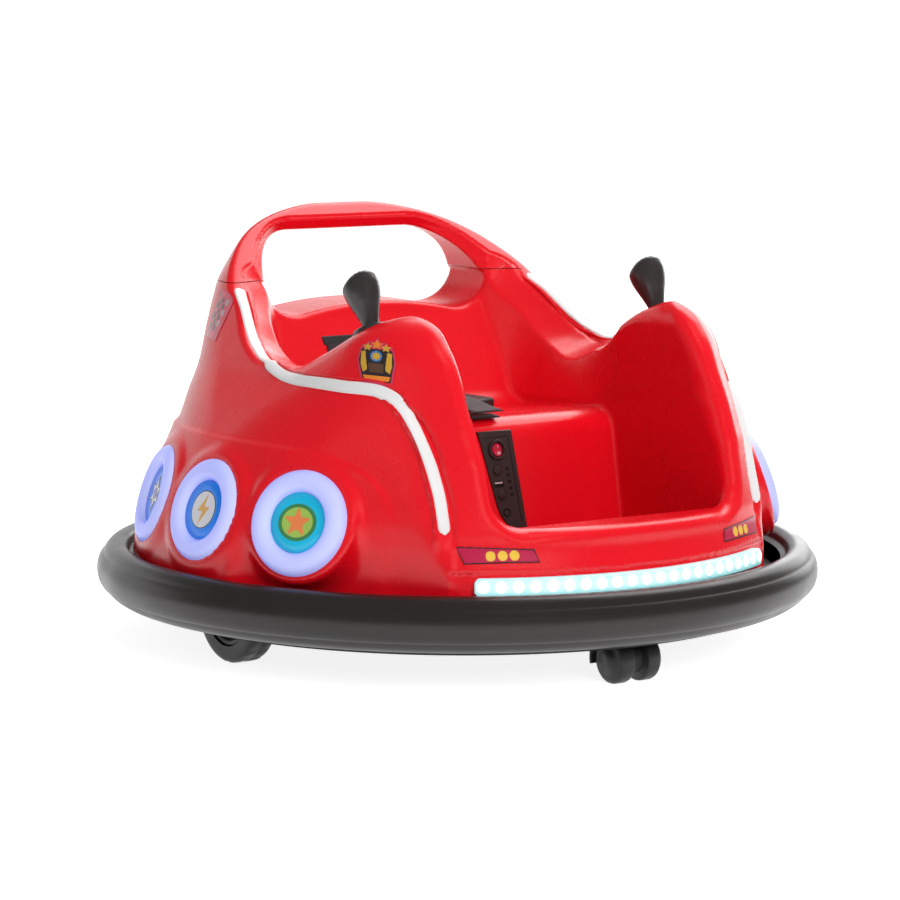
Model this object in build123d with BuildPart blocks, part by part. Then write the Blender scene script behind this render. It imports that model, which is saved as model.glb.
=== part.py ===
from build123d import *
from math import atan2, cos, degrees, radians, sin
import os

os.makedirs("parts", exist_ok=True)

# A child's battery ride-on bumper car. The origin is on the ground under the ring's centre,
# the front is -Y, up is +Z, and the car is alike on both sides of the plane X = 0.

# Gaps
CLEARANCE = 0.3
RUNNING_GAP = 0.05

# Chassis pan, body foot and bumper ring
PAN_BOTTOM = 42.0
PLATE_BOTTOM = 58.0
PLATE_TOP = 70.0
BELLY_GAP = 6.0
CLAMP_WIDTH = 10.0
BODY_R = 330.0
RING_WIDTH = 40.0
RING_BOTTOM = 47.0
RING_TOP = 101.0

# Body heights
SKIRT_TOP = 100.0
LIP_TOP = 157.0
BELT_DIP = 286.0
HUMP_TOP = 350.0
SEAM = 362.0
HOOP_TOP = 434.0

# Footwell and seat
TUB_HALF_WIDTH = 140.0
FOOTWELL_FLOOR = 82.0
LIP_INNER_Y = -270.0
FOOTWELL_FRONT_Y = -258.0
SEAT_FOOT_Y = -103.0
SEAT_EDGE_Y = -76.0
SEAT_HEIGHT = 234.0
SEAT_REAR_Y = 92.0
SEAT_REAR_HEIGHT = 222.0
SEATBACK_Y = 152.0
BUCKET_CORNER_R = 85.0

# Belt line: the humps in front, the dip beside the seat, then the rise to the hoop
HUMP_REAR_Y = -143.0
DIP_Y = -18.0
RAIL_Y = 70.0
RAIL_HEIGHT = 306.0
BELT_CURVE_R = 30.0

# Roll hoop: its front face leans back, and the hole runs straight through it
HOOP_FRONT_Y = 137.0
HOOP_LEAN = 1.17
HOLE_HALF_WIDTH = 138.0
HOLE_TOP = 408.0
HOLE_CORNER_R = 64.0
HOLE_FOOT = 20.0
DECK_HEIGHT = 334.0
DECK_SIDE_HEIGHT = 314.0

# Lamps on the flanks
LAMP_R = 53.0
LAMP_DISC_R = 29.0
LAMP_HEIGHT = 160.0
LAMP_FACE_R = BODY_R - 12
LAMP_TILT = 18.0
LAMP_DEPTH = 16.0
LAMP_DISC_SUNK = 3.0
LAMP_EDGE = 6.0
POD_RIM = 5.0

# Light bar round the front
BAR_HEIGHT = 108.0
BAR_TALL = 18.0
BAR_R = BODY_R - 2
BAR_THICK = 10.0
BAR_HALF_ANGLE = 32.0

# Levers, square to the slope behind each hump
LEVER_X = 174.5
LEVER_DOWN_SLOPE = 0.28
LEVER_LENGTH = 64.0
LEVER_PIVOT = -14.0
LEVER_PIN_R = 3.0
CUP_R = 21.0
CUP_BORE_R = 13.5
CUP_DEPTH = 30.0
CUP_PROUD = 3.0
NECK_R = 9.0
GRIP_R = 18.0

# Control panel on the seat's front
PANEL_SUNK = 3.0
PANEL_PROUD = 2.0
KNOB_TALL = 6.0
KNOB_SUNK = 2.0

# Drive wheels, their wells and gearboxes
WHEEL_R = 59.0
WHEEL_WIDTH = 28.0
WHEEL_INSET = 66.0
WHEEL_X = BODY_R - WHEEL_INSET
HUB_R = 42.0
WHEEL_AXLE_R = 5.0
WELL_GAP = 8.0
GEARBOX = (46.0, 60.0, 54.0)
GEARBOX_BOTTOM = 40.0
GEARBOX_GAP = 8.0
AXLE_CAP = 2.5
BELLY_R = WHEEL_X - WHEEL_WIDTH / 2 - GEARBOX_GAP - GEARBOX[0] - BELLY_GAP

# Casters
CASTER_INSET = 58.0
CASTER_PIVOT_Y = BODY_R - CASTER_INSET
CASTER_TRAIL = 20.0
CASTER_WHEEL_R = 23.0
CASTER_WHEEL_WIDTH = 18.0
CASTER_HALF_WIDTH = 26.0
CASTER_STEM_R = 5.0
CASTER_AXLE_R = 4.0
SOCKET_R = 12.0
SOCKET_DROP = 5.0
HOOD_GAP = 2.0
HOOD_WALL = 3.0
WEB_HALF_WIDTH = 6.5

# Battery under the seat, and its hatch in the belly
BATTERY = (150.0, 66.0, 95.0)
BATTERY_Y = 10.0
HATCH = (170.0, 90.0, 3.0)

# Lap belt
STRAP_WIDTH = 36.0
STRAP_THICK = 3.0
STRAP_INNER = 36.0
BUCKLE = (36.0, 44.0, 12.0)
# Side, distance from the middle at the seat's back, height there, length over the seat
STRAPS = (
    ("left", 60.0, 80.0, 150.0),
    ("right", 45.0, 28.0, 20.0),
)

STANDING = (Align.CENTER, Align.CENTER, Align.MIN)
SIDES = (("left", -1), ("right", 1))
ENDS = (("front", -1), ("rear", 1))

# Body sections: height, half width, front, rear, front corner radius, rear corner radius
BODY_SECTIONS = (
    (SKIRT_TOP, BODY_R - 2, BODY_R - 2, BODY_R - 2, BODY_R - 8, BODY_R - 8),
    (150.0, 317.0, 312.0, 317.0, 305.0, 308.0),
    (200.0, 296.0, 304.0, 287.0, 283.0, 280.0),
    (253.0, 261.0, 275.0, 253.0, 210.0, 208.0),
    (BELT_DIP, 230.0, 236.0, 241.0, 150.0, 155.0),
    (320.0, 210.0, 213.0, 238.0, 107.0, 122.0),
    (SEAM, 188.0, 184.0, 237.0, 77.0, 100.0),
)
HOOP_SECTIONS = (
    (SEAM, 188.0, 184.0, 237.0, 77.0, 100.0),
    (SEAM + 25, 171.0, 165.0, 236.0, 75.0, 96.0),
    (SEAM + 48, 152.0, 165.0, 234.0, 75.0, 92.0),
    (HOOP_TOP, 112.0, 165.0, 230.0, 75.0, 88.0),
)

# Lamps on each flank: name, angle from the front
LAMPS = (("front", 63.0), ("middle", 85.5), ("rear", 107.0))

# Corners of the control panel, on the seat face's plane
PANEL_CORNERS = (
    (-31.0, -14.0), (10.0, -14.0), (18.5, -115.0), (9.0, -116.0), (-5.0, -109.0), (-15.0, -90.0),
)

# Round things in the panel: name, place on the panel's plane, radius
PANEL_ROUNDS = (
    ("power_switch", (-10.0, -32.5), 9.5),
    ("button_upper", (-11.5, -53.0), 6.0),
    ("button_lower", (-8.5, -78.0), 6.0),
    ("charging_socket", (-5.0, -96.0), 4.5),
)


def write(part, name):
    """Names a finished piece and writes its file."""
    part.label = name
    export_step(part, f"parts/{name}.step")


def rounded_outline(height, half_width, front, rear, front_radius, rear_radius):
    """A horizontal section of the body: a rectangle with large rounded corners."""
    with BuildSketch(Plane.XY.offset(height)) as outline:
        with Locations((0, (rear - front) / 2)):
            Rectangle(2 * half_width, front + rear)
        fillet(outline.vertices().sort_by(Axis.Y)[:2], front_radius)
        fillet(outline.vertices().sort_by(Axis.Y)[-2:], rear_radius)
    return outline.sketch


def cylinder_on(plane, radius, low, high):
    """A cylinder on a plane, from one distance along its normal to another."""
    with BuildPart(plane.offset(low), mode=Mode.PRIVATE) as solid:
        Cylinder(radius, high - low, align=STANDING)
    return solid.part


def turned(plane, outline):
    """A solid turned about a plane's normal, from corners given as radius and height."""
    side = Plane(origin=plane.origin, x_dir=plane.x_dir, z_dir=-plane.y_dir)
    with BuildPart(mode=Mode.PRIVATE) as solid:
        with BuildSketch(side):
            with BuildLine():
                Polyline(*outline, close=True)
            make_face()
        revolve(axis=Axis(plane.origin, plane.z_dir))
    return solid.part


def lamp_plane(side, angle):
    """The plane of a lamp's front face, with its normal pointing outwards."""
    outward = Vector(side * sin(radians(angle)), -cos(radians(angle)), 0)
    normal = outward * cos(radians(LAMP_TILT)) + Vector(0, 0, sin(radians(LAMP_TILT)))
    return Plane(origin=outward * LAMP_FACE_R + Vector(0, 0, LAMP_HEIGHT), z_dir=normal)


def bar_solid(gap, depth):
    """The light bar: part of a band round the front, larger by a gap and deeper outwards."""
    with BuildPart(mode=Mode.PRIVATE) as bar:
        with BuildSketch(Plane.XZ.rotated((0, 0, -90 - BAR_HALF_ANGLE))):
            with Locations((BAR_R + (depth - BAR_THICK) / 2, BAR_HEIGHT)):
                Rectangle(BAR_THICK + 2 * gap + depth, BAR_TALL + 2 * gap)
        revolve(axis=Axis.Z, revolution_arc=2 * BAR_HALF_ANGLE)
    return bar.part


def hole_solid():
    """The hole under the hoop, from the seat's back to behind the car."""
    with BuildPart(mode=Mode.PRIVATE) as hole:
        with BuildSketch(Plane.XZ.offset(-SEAT_REAR_Y)) as outline:
            with BuildLine():
                Polyline(
                    (-HOLE_HALF_WIDTH, HOLE_TOP),
                    (HOLE_HALF_WIDTH, HOLE_TOP),
                    (HOLE_HALF_WIDTH, DECK_SIDE_HEIGHT + HOLE_FOOT),
                    (HOLE_HALF_WIDTH - HOLE_FOOT, DECK_SIDE_HEIGHT),
                    (0, DECK_HEIGHT),
                    (-HOLE_HALF_WIDTH + HOLE_FOOT, DECK_SIDE_HEIGHT),
                    (-HOLE_HALF_WIDTH, DECK_SIDE_HEIGHT + HOLE_FOOT),
                    close=True,
                )
            make_face()
            fillet(outline.vertices().group_by(Axis.Y)[-1], HOLE_CORNER_R)
        extrude(amount=-BODY_R)
    return hole.part


LAMP_PLANES = [
    (side_name, lamp_name, lamp_plane(side, angle))
    for side_name, side in SIDES
    for lamp_name, angle in LAMPS
]

# Each lever's plane on the slope behind the hump
SLOPE_ANGLE = atan2(HUMP_TOP - BELT_DIP, DIP_Y - HUMP_REAR_Y)
LEVER_PLANES = [
    (
        side_name,
        Plane(
            origin=(
                side * LEVER_X,
                HUMP_REAR_Y + LEVER_DOWN_SLOPE * (DIP_Y - HUMP_REAR_Y),
                HUMP_TOP + LEVER_DOWN_SLOPE * (BELT_DIP - HUMP_TOP),
            ),
            x_dir=(1, 0, 0),
            z_dir=(0, sin(SLOPE_ANGLE), cos(SLOPE_ANGLE)),
        ),
    )
    for side_name, side in SIDES
]

# The seat's front face, its top and its back
SEAT_FACE_ANGLE = atan2(SEAT_EDGE_Y - SEAT_FOOT_Y, SEAT_HEIGHT - FOOTWELL_FLOOR)
PANEL_PLANE = Plane(
    origin=(0, SEAT_EDGE_Y, SEAT_HEIGHT),
    x_dir=(1, 0, 0),
    z_dir=(0, -cos(SEAT_FACE_ANGLE), sin(SEAT_FACE_ANGLE)),
)
SEAT_ANGLE = atan2(SEAT_REAR_HEIGHT - SEAT_HEIGHT, SEAT_REAR_Y - SEAT_EDGE_Y)
SEAT_DEPTH = (SEAT_REAR_Y - SEAT_EDGE_Y) / cos(SEAT_ANGLE)
SEAT_PLANE = Plane(
    origin=(0, SEAT_EDGE_Y, SEAT_HEIGHT),
    x_dir=(1, 0, 0),
    z_dir=(0, -sin(SEAT_ANGLE), cos(SEAT_ANGLE)),
)
SEATBACK_ANGLE = atan2(DECK_HEIGHT - SEAT_REAR_HEIGHT, SEATBACK_Y - SEAT_REAR_Y)
SEATBACK_PLANE = Plane(
    origin=(0, SEAT_REAR_Y, SEAT_REAR_HEIGHT),
    x_dir=(1, 0, 0),
    z_dir=(0, -sin(SEATBACK_ANGLE), cos(SEATBACK_ANGLE)),
)


def panel_spot(place):
    """The plane of a thing in the control panel, on the panel's face."""
    centre = PANEL_PLANE.from_local_coords(Vector(*place, PANEL_PROUD))
    return Plane(origin=centre, x_dir=PANEL_PLANE.x_dir, z_dir=PANEL_PLANE.z_dir)


# Space over the footwell and seat, open above and in front, with round corners behind
SKY = HOOP_TOP + 100
RING_REACH = BODY_R + RING_WIDTH
FAR_FRONT = -RING_REACH - 50
with BuildPart() as tub_space:
    with BuildSketch(Plane.YZ):
        with BuildLine():
            Polyline(
                (FAR_FRONT, LIP_TOP),
                (LIP_INNER_Y, LIP_TOP),
                (FOOTWELL_FRONT_Y, FOOTWELL_FLOOR),
                (SEAT_FOOT_Y, FOOTWELL_FLOOR),
                (SEAT_EDGE_Y, SEAT_HEIGHT),
                (SEAT_REAR_Y, SEAT_REAR_HEIGHT),
                (SEATBACK_Y, DECK_HEIGHT),
                (SEATBACK_Y, SKY),
                (FAR_FRONT, SKY),
                close=True,
            )
        make_face()
    extrude(amount=TUB_HALF_WIDTH, both=True)
    with BuildSketch() as tub_plan:
        with Locations((0, (FAR_FRONT + SEATBACK_Y) / 2)):
            Rectangle(2 * TUB_HALF_WIDTH, SEATBACK_Y - FAR_FRONT)
        fillet(tub_plan.vertices().sort_by(Axis.Y)[-2:], BUCKET_CORNER_R)
    extrude(amount=SKY, mode=Mode.INTERSECT)

# Body: the outer form with the footwell and seat sunk into it
with BuildPart() as body_form:
    for section in BODY_SECTIONS:
        add(rounded_outline(*section))
    loft()
    with Locations((0, 0, PLATE_TOP)):
        Cylinder(BODY_R, SKIRT_TOP - PLATE_TOP, align=STANDING)
    # Pods round the lamps
    for side_name, lamp_name, plane in LAMP_PLANES:
        add(cylinder_on(plane, LAMP_R + POD_RIM, -40, -3))
    # Everything above the belt line
    with BuildSketch(Plane.YZ):
        with BuildLine():
            belt = FilletPolyline(
                (FAR_FRONT, HUMP_TOP),
                (HUMP_REAR_Y, HUMP_TOP),
                (DIP_Y, BELT_DIP),
                (RAIL_Y, RAIL_HEIGHT),
                (HOOP_FRONT_Y, SEAM),
                (HOOP_FRONT_Y + HOOP_LEAN * (SKY - SEAM), SKY),
                radius=BELT_CURVE_R,
            )
            Polyline(belt @ 1, (FAR_FRONT, SKY), belt @ 0)
        make_face()
    extrude(amount=BODY_R, both=True, mode=Mode.SUBTRACT)
    add(tub_space.part, mode=Mode.SUBTRACT)
    add(hole_solid(), mode=Mode.SUBTRACT)
    # Seats of the lamps, the light bar and the lever cups
    for side_name, lamp_name, plane in LAMP_PLANES:
        add(cylinder_on(plane, LAMP_R + CLEARANCE, -LAMP_DEPTH, 60), mode=Mode.SUBTRACT)
    add(bar_solid(CLEARANCE, 20), mode=Mode.SUBTRACT)
    for side_name, plane in LEVER_PLANES:
        add(cylinder_on(plane, CUP_R + CLEARANCE, -CUP_DEPTH, 60), mode=Mode.SUBTRACT)
    # Wells of the drive wheels and gearboxes
    for side_name, side in SIDES:
        with Locations((side * WHEEL_X, 0, 0)):
            Box(
                WHEEL_WIDTH + 2 * WELL_GAP, 2 * (WHEEL_R + WELL_GAP), 2 * (2 * WHEEL_R + WELL_GAP),
                mode=Mode.SUBTRACT,
            )
        with Locations((side * (WHEEL_X - WHEEL_WIDTH / 2 - GEARBOX_GAP - GEARBOX[0] / 2), 0, 0)):
            Box(
                GEARBOX[0] + 2 * CLEARANCE, GEARBOX[1] + 2 * CLEARANCE,
                2 * (GEARBOX_BOTTOM + GEARBOX[2] + CLEARANCE), mode=Mode.SUBTRACT,
            )
    # Battery space under the seat
    with Locations((0, BATTERY_Y, 0)):
        Box(
            BATTERY[0] + 2, BATTERY[1] + 2, 2 * (PLATE_TOP + BATTERY[2] + 2), mode=Mode.SUBTRACT,
        )
    # Seat of the control panel
    with BuildSketch(PANEL_PLANE.offset(-PANEL_SUNK)):
        with BuildLine():
            Polyline(*PANEL_CORNERS, close=True)
        make_face()
    extrude(amount=30, mode=Mode.SUBTRACT)

# Its three mouldings: the tub with the footwell and seat, and a flank on each side
with BuildPart() as tub_shell:
    add(body_form.part)
    with Locations((0, 0, PLATE_TOP)):
        Box(2 * TUB_HALF_WIDTH, 2 * RING_REACH, SKY, align=STANDING, mode=Mode.INTERSECT)
write(tub_shell.part, "tub_shell")
for side_name, side in SIDES:
    with BuildPart() as flank:
        add(body_form.part)
        with Locations((side * (TUB_HALF_WIDTH + RING_REACH), 0, PLATE_TOP)):
            Box(2 * RING_REACH, 2 * RING_REACH, SKY, align=STANDING, mode=Mode.INTERSECT)
    write(flank.part, f"flank_{side_name}")

# Roll hoop above the seam
with BuildPart() as hoop:
    for section in HOOP_SECTIONS:
        add(rounded_outline(*section))
    loft()
    # Its front face leans back
    with BuildSketch(Plane.YZ):
        with BuildLine():
            Polyline(
                (FAR_FRONT, SEAM),
                (HOOP_FRONT_Y, SEAM),
                (HOOP_FRONT_Y + HOOP_LEAN * (SKY - SEAM), SKY),
                (FAR_FRONT, SKY),
                close=True,
            )
        make_face()
    extrude(amount=BODY_R, both=True, mode=Mode.SUBTRACT)
    add(hole_solid(), mode=Mode.SUBTRACT)
write(hoop.part, "hoop")

# Lamps on the flanks: a domed light ring with a disc in its middle
for side_name, lamp_name, plane in LAMP_PLANES:
    back = -LAMP_DEPTH + CLEARANCE
    ring_outline = (
        (LAMP_DISC_R + CLEARANCE, back),
        (LAMP_R, back),
        (LAMP_R, -LAMP_EDGE),
        (LAMP_R - LAMP_EDGE, 0),
        (LAMP_DISC_R + LAMP_EDGE, 0),
        (LAMP_DISC_R + CLEARANCE, -LAMP_EDGE),
    )
    write(turned(plane, ring_outline), f"lamp_ring_{side_name}_{lamp_name}")
    lamp_disc = cylinder_on(plane, LAMP_DISC_R, back, -LAMP_DISC_SUNK)
    write(lamp_disc, f"lamp_disc_{side_name}_{lamp_name}")

# Light bar round the front
write(bar_solid(0, 0), "light_bar")

# Control panel on the seat's front, and the round things in it
with BuildPart() as control_panel:
    with BuildSketch(PANEL_PLANE.offset(-PANEL_SUNK)):
        with BuildLine():
            Polyline(*PANEL_CORNERS, close=True)
        make_face()
        offset(amount=-CLEARANCE)
    extrude(amount=PANEL_SUNK + PANEL_PROUD)
    for name, place, radius in PANEL_ROUNDS:
        add(cylinder_on(panel_spot(place), radius + CLEARANCE, -KNOB_SUNK, 10), mode=Mode.SUBTRACT)
write(control_panel.part, "control_panel")
for name, place, radius in PANEL_ROUNDS:
    write(cylinder_on(panel_spot(place), radius, -KNOB_SUNK, KNOB_TALL - KNOB_SUNK), name)

# Levers: a pear-shaped grip on a neck, turning on a cross pin in a cup
for side_name, plane in LEVER_PLANES:
    pivot = plane.origin + plane.z_dir * LEVER_PIVOT
    cross = Plane(origin=pivot, x_dir=plane.y_dir, z_dir=plane.x_dir)
    with BuildPart() as lever_cup:
        add(cylinder_on(plane, CUP_R, -CUP_DEPTH, CUP_PROUD))
        add(cylinder_on(plane, CUP_BORE_R, LEVER_PIVOT - CUP_BORE_R, 20), mode=Mode.SUBTRACT)
        add(cylinder_on(cross, LEVER_PIN_R + RUNNING_GAP, -CUP_R, CUP_R), mode=Mode.SUBTRACT)
    write(lever_cup.part, f"lever_cup_{side_name}")

    # Radius and height of the lever's outline
    lever_outline = (
        (0, LEVER_PIVOT - NECK_R),
        (NECK_R, LEVER_PIVOT - NECK_R + 2),
        (NECK_R, 8),
        (GRIP_R - 1, LEVER_LENGTH - 26),
        (GRIP_R, LEVER_LENGTH - 16),
        (GRIP_R - 4, LEVER_LENGTH - 6),
        (GRIP_R - 10, LEVER_LENGTH),
        (0, LEVER_LENGTH),
    )
    with BuildPart() as lever:
        add(turned(plane, lever_outline))
        add(cylinder_on(cross, LEVER_PIN_R, -CUP_R + 1, CUP_R - 1))
    write(lever.part, f"lever_{side_name}")

# Bumper ring: a rubber band with three rounded lobes
ring_inner = BODY_R + CLEARANCE
ring_outer = RING_REACH
with BuildPart() as bumper_ring:
    with BuildSketch(Plane.XZ):
        with BuildLine():
            lower = ThreePointArc(
                (ring_inner, RING_BOTTOM + 7), (ring_outer - 26, RING_BOTTOM), (ring_outer - 11, RING_BOTTOM + 10)
            )
            middle = ThreePointArc(
                lower @ 1, (ring_outer, (RING_BOTTOM + RING_TOP) / 2 + 1), (ring_outer - 6.5, RING_TOP - 10)
            )
            upper = ThreePointArc(middle @ 1, (ring_outer - 12, RING_TOP), (ring_outer - 26, RING_TOP - 1))
            Polyline(
                upper @ 1,
                (BODY_R + 8, RING_TOP - 4),
                (BODY_R + 7, RING_TOP - 11),
                (ring_inner, RING_TOP - 13),
                lower @ 0,
            )
        make_face()
    revolve(axis=Axis.Z)
write(bumper_ring.part, "bumper_ring")

# Chassis pan: a plate under the body with a round belly below it
with BuildPart() as base_pan:
    with Locations((0, 0, PLATE_BOTTOM)):
        Cylinder(BODY_R, PLATE_TOP - PLATE_BOTTOM, align=STANDING)
    with Locations((0, 0, PAN_BOTTOM)):
        Cylinder(BELLY_R, PLATE_TOP - PAN_BOTTOM, align=STANDING)
    for side_name, side in SIDES:
        with Locations((side * WHEEL_X, 0, PLATE_TOP)):
            Box(
                WHEEL_WIDTH + 2 * WELL_GAP, 2 * (WHEEL_R + WELL_GAP), PLATE_TOP, mode=Mode.SUBTRACT,
            )
        with Locations((side * (WHEEL_X - WHEEL_WIDTH / 2 - GEARBOX_GAP - GEARBOX[0] / 2), 0, PLATE_TOP)):
            Box(
                GEARBOX[0] + 2 * CLEARANCE, GEARBOX[1] + 2 * CLEARANCE, PLATE_TOP, mode=Mode.SUBTRACT,
            )
    for end_name, end in ENDS:
        with Locations((0, end * CASTER_PIVOT_Y, 0)):
            Cylinder(SOCKET_R + CLEARANCE, 2 * PLATE_TOP, mode=Mode.SUBTRACT)
    with Locations((0, BATTERY_Y, PAN_BOTTOM)):
        Box(HATCH[0] + 2 * CLEARANCE, HATCH[1] + 2 * CLEARANCE, 2 * HATCH[2], mode=Mode.SUBTRACT)
write(base_pan.part, "base_pan")

# Clamp that holds the ring's lower edge to the plate
with BuildPart() as ring_clamp:
    with Locations((0, 0, PAN_BOTTOM)):
        Cylinder(BODY_R, PLATE_BOTTOM - PAN_BOTTOM, align=STANDING)
        Cylinder(BODY_R - CLAMP_WIDTH, PLATE_BOTTOM - PAN_BOTTOM, align=STANDING, mode=Mode.SUBTRACT)
write(ring_clamp.part, "ring_clamp")

# Battery hatch in the belly, and the battery on the plate under the seat
with BuildPart() as battery_hatch:
    with Locations((0, BATTERY_Y, PAN_BOTTOM)):
        Box(*HATCH, align=STANDING)
write(battery_hatch.part, "battery_hatch")
with BuildPart() as battery:
    with Locations((0, BATTERY_Y, PLATE_TOP)):
        Box(*BATTERY, align=STANDING)
write(battery.part, "battery")

# Casters: a twin wheel under a hood that swivels in a socket
for end_name, end in ENDS:
    pivot_y = end * CASTER_PIVOT_Y
    axle_y = pivot_y - CASTER_TRAIL
    stem = Plane(origin=(0, pivot_y, 0))
    axle = Plane(origin=(0, axle_y, CASTER_WHEEL_R), x_dir=(0, 1, 0), z_dir=(1, 0, 0))
    with BuildPart() as socket:
        add(cylinder_on(stem, SOCKET_R, PLATE_BOTTOM - SOCKET_DROP, PLATE_TOP))
        add(cylinder_on(stem, CASTER_STEM_R + RUNNING_GAP, 0, PLATE_TOP), mode=Mode.SUBTRACT)
    write(socket.part, f"caster_socket_{end_name}")

    with BuildPart() as caster_hood:
        # Hood over the wheels, open below and in front
        with BuildSketch(Plane.YZ):
            with Locations((axle_y, CASTER_WHEEL_R)):
                Circle(CASTER_WHEEL_R + HOOD_GAP + HOOD_WALL)
                Circle(CASTER_WHEEL_R + HOOD_GAP, mode=Mode.SUBTRACT)
            with BuildLine():
                Polyline(
                    (axle_y, CASTER_WHEEL_R),
                    (axle_y + 60, CASTER_WHEEL_R - 16),
                    (axle_y + 60, -60),
                    (axle_y - 60, -60),
                    (axle_y - 60, CASTER_WHEEL_R + 85),
                    close=True,
                )
            make_face(mode=Mode.SUBTRACT)
        extrude(amount=CASTER_HALF_WIDTH, both=True)
        # Web between the wheels, up to the stem
        with BuildSketch(Plane.YZ):
            with Locations((axle_y, CASTER_WHEEL_R)):
                Circle(15)
            with Locations((axle_y + 13, CASTER_WHEEL_R + 6)):
                Rectangle(26, 30)
        extrude(amount=WEB_HALF_WIDTH, both=True)
        add(cylinder_on(stem, CASTER_STEM_R, CASTER_WHEEL_R + 10, PLATE_TOP - 1))
        add(cylinder_on(axle, CASTER_AXLE_R + RUNNING_GAP, -50, 50), mode=Mode.SUBTRACT)
    write(caster_hood.part, f"caster_hood_{end_name}")

    inner = CASTER_HALF_WIDTH - CASTER_WHEEL_WIDTH
    outer = CASTER_HALF_WIDTH - 0.5
    spool_outline = (
        (0, -outer),
        (CASTER_WHEEL_R - 2, -outer),
        (CASTER_WHEEL_R, -outer + 2),
        (CASTER_WHEEL_R, -inner),
        (CASTER_AXLE_R, -inner),
        (CASTER_AXLE_R, inner),
        (CASTER_WHEEL_R, inner),
        (CASTER_WHEEL_R, outer - 2),
        (CASTER_WHEEL_R - 2, outer),
        (0, outer),
    )
    write(turned(axle, spool_outline), f"caster_wheels_{end_name}")

# Drive wheels, each on the axle of its gearbox
for side_name, side in SIDES:
    hub_plane = Plane(origin=(side * WHEEL_X, 0, WHEEL_R), x_dir=(0, 1, 0), z_dir=(side, 0, 0))
    half = WHEEL_WIDTH / 2
    tyre_outline = (
        (HUB_R + CLEARANCE, -half),
        (WHEEL_R - 4, -half),
        (WHEEL_R, -half + 4),
        (WHEEL_R, half - 4),
        (WHEEL_R - 4, half),
        (HUB_R + CLEARANCE, half),
    )
    write(turned(hub_plane, tyre_outline), f"drive_tyre_{side_name}")
    hub_outline = (
        (WHEEL_AXLE_R + RUNNING_GAP, -half),
        (HUB_R, -half),
        (HUB_R, half - 2),
        (HUB_R - 6, half - 2),
        (HUB_R - 10, half - 8),
        (16, half - 8),
        (14, half),
        (WHEEL_AXLE_R + RUNNING_GAP, half),
    )
    write(turned(hub_plane, hub_outline), f"drive_hub_{side_name}")
    with BuildPart() as gearbox:
        with Locations(
            (side * (WHEEL_X - half - GEARBOX_GAP - GEARBOX[0] / 2), 0, GEARBOX_BOTTOM)
        ):
            Box(*GEARBOX, align=STANDING)
        add(cylinder_on(hub_plane, WHEEL_AXLE_R, -half - GEARBOX_GAP, half + 1.5 + AXLE_CAP))
        add(cylinder_on(hub_plane, WHEEL_AXLE_R + 5, half + 1.5, half + 1.5 + AXLE_CAP))
    write(gearbox.part, f"gearbox_{side_name}")

# Lap belt: a strap down each side of the seat's back and forward over the seat, and a buckle
for (side_name, side), (strap_name, away, rise, run) in zip(SIDES, STRAPS):
    with BuildPart() as strap:
        with BuildSketch(SEATBACK_PLANE.offset(CLEARANCE)):
            with Locations((side * away, rise / 2)):
                Rectangle(STRAP_WIDTH, rise)
        extrude(amount=STRAP_THICK)
        with BuildSketch(SEAT_PLANE.offset(CLEARANCE)):
            with Locations((side * away, SEAT_DEPTH - CLEARANCE - STRAP_WIDTH / 2)):
                Rectangle(STRAP_WIDTH, STRAP_WIDTH)
            with Locations((side * STRAP_INNER, SEAT_DEPTH - STRAP_WIDTH / 2 - run / 2)):
                Rectangle(STRAP_WIDTH, STRAP_WIDTH + run - 2 * CLEARANCE)
        extrude(amount=STRAP_THICK)
    write(strap.part, f"belt_strap_{side_name}")
with BuildPart() as buckle:
    with BuildSketch(SEAT_PLANE.offset(CLEARANCE)):
        front_of_strap = SEAT_DEPTH - STRAP_WIDTH - run - CLEARANCE
        with Locations((STRAP_INNER, front_of_strap - BUCKLE[1] / 2)):
            Rectangle(*BUCKLE[:2])
    extrude(amount=BUCKLE[2])
write(buckle.part, "belt_buckle")
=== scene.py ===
from math import cos, pi, radians, sin, sqrt, tau

import bmesh
import bpy
import numpy as np
import openvdb
from mathutils import Matrix, Vector


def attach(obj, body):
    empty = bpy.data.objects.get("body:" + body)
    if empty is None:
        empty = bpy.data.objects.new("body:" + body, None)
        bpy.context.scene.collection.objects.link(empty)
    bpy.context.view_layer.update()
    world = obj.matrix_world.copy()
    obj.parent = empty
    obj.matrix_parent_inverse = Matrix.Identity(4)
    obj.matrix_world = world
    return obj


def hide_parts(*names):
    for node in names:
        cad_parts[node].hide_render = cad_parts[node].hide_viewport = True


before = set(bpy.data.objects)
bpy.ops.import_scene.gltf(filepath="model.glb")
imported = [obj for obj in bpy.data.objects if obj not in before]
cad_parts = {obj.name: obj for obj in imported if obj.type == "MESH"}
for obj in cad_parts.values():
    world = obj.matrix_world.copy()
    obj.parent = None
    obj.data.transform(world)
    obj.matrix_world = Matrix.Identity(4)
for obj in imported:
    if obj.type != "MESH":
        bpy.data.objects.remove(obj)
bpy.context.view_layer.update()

# Body shell
# One large moulding of glossy red plastic: a round skirt that draws in to two front humps and
# to the posts of the roll hoop, with a footwell and a bucket seat sunk into it.

# Levels: the joint with the hoop and its gap, the foot, and the skirt's parting line
SEAM = 0.362
SEAM_GAP = 0.0008
SHELL_FOOT = 0.070
PARTING = 0.134

# Footwell and bucket seat: half width, back, and where the side walls lean out
TUB = 0.140
SEAT_MIDDLE = -0.2
SEATBACK = 0.158
SEATBACK_CORNER = 0.090
LEAN_START = 0.235
LEAN_TALL = 0.130

# Hole under the hoop, and the crowned deck below it
HOLE_HALF_WIDTH = 0.139
HOLE_TOP = 0.408
HOLE_TOP_R = 0.066
HOLE_FOOT_R = 0.050
DECK_HEIGHT = 0.334
DECK_FALL = 0.022
RIM_GROOVE_R = 0.0017

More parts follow.
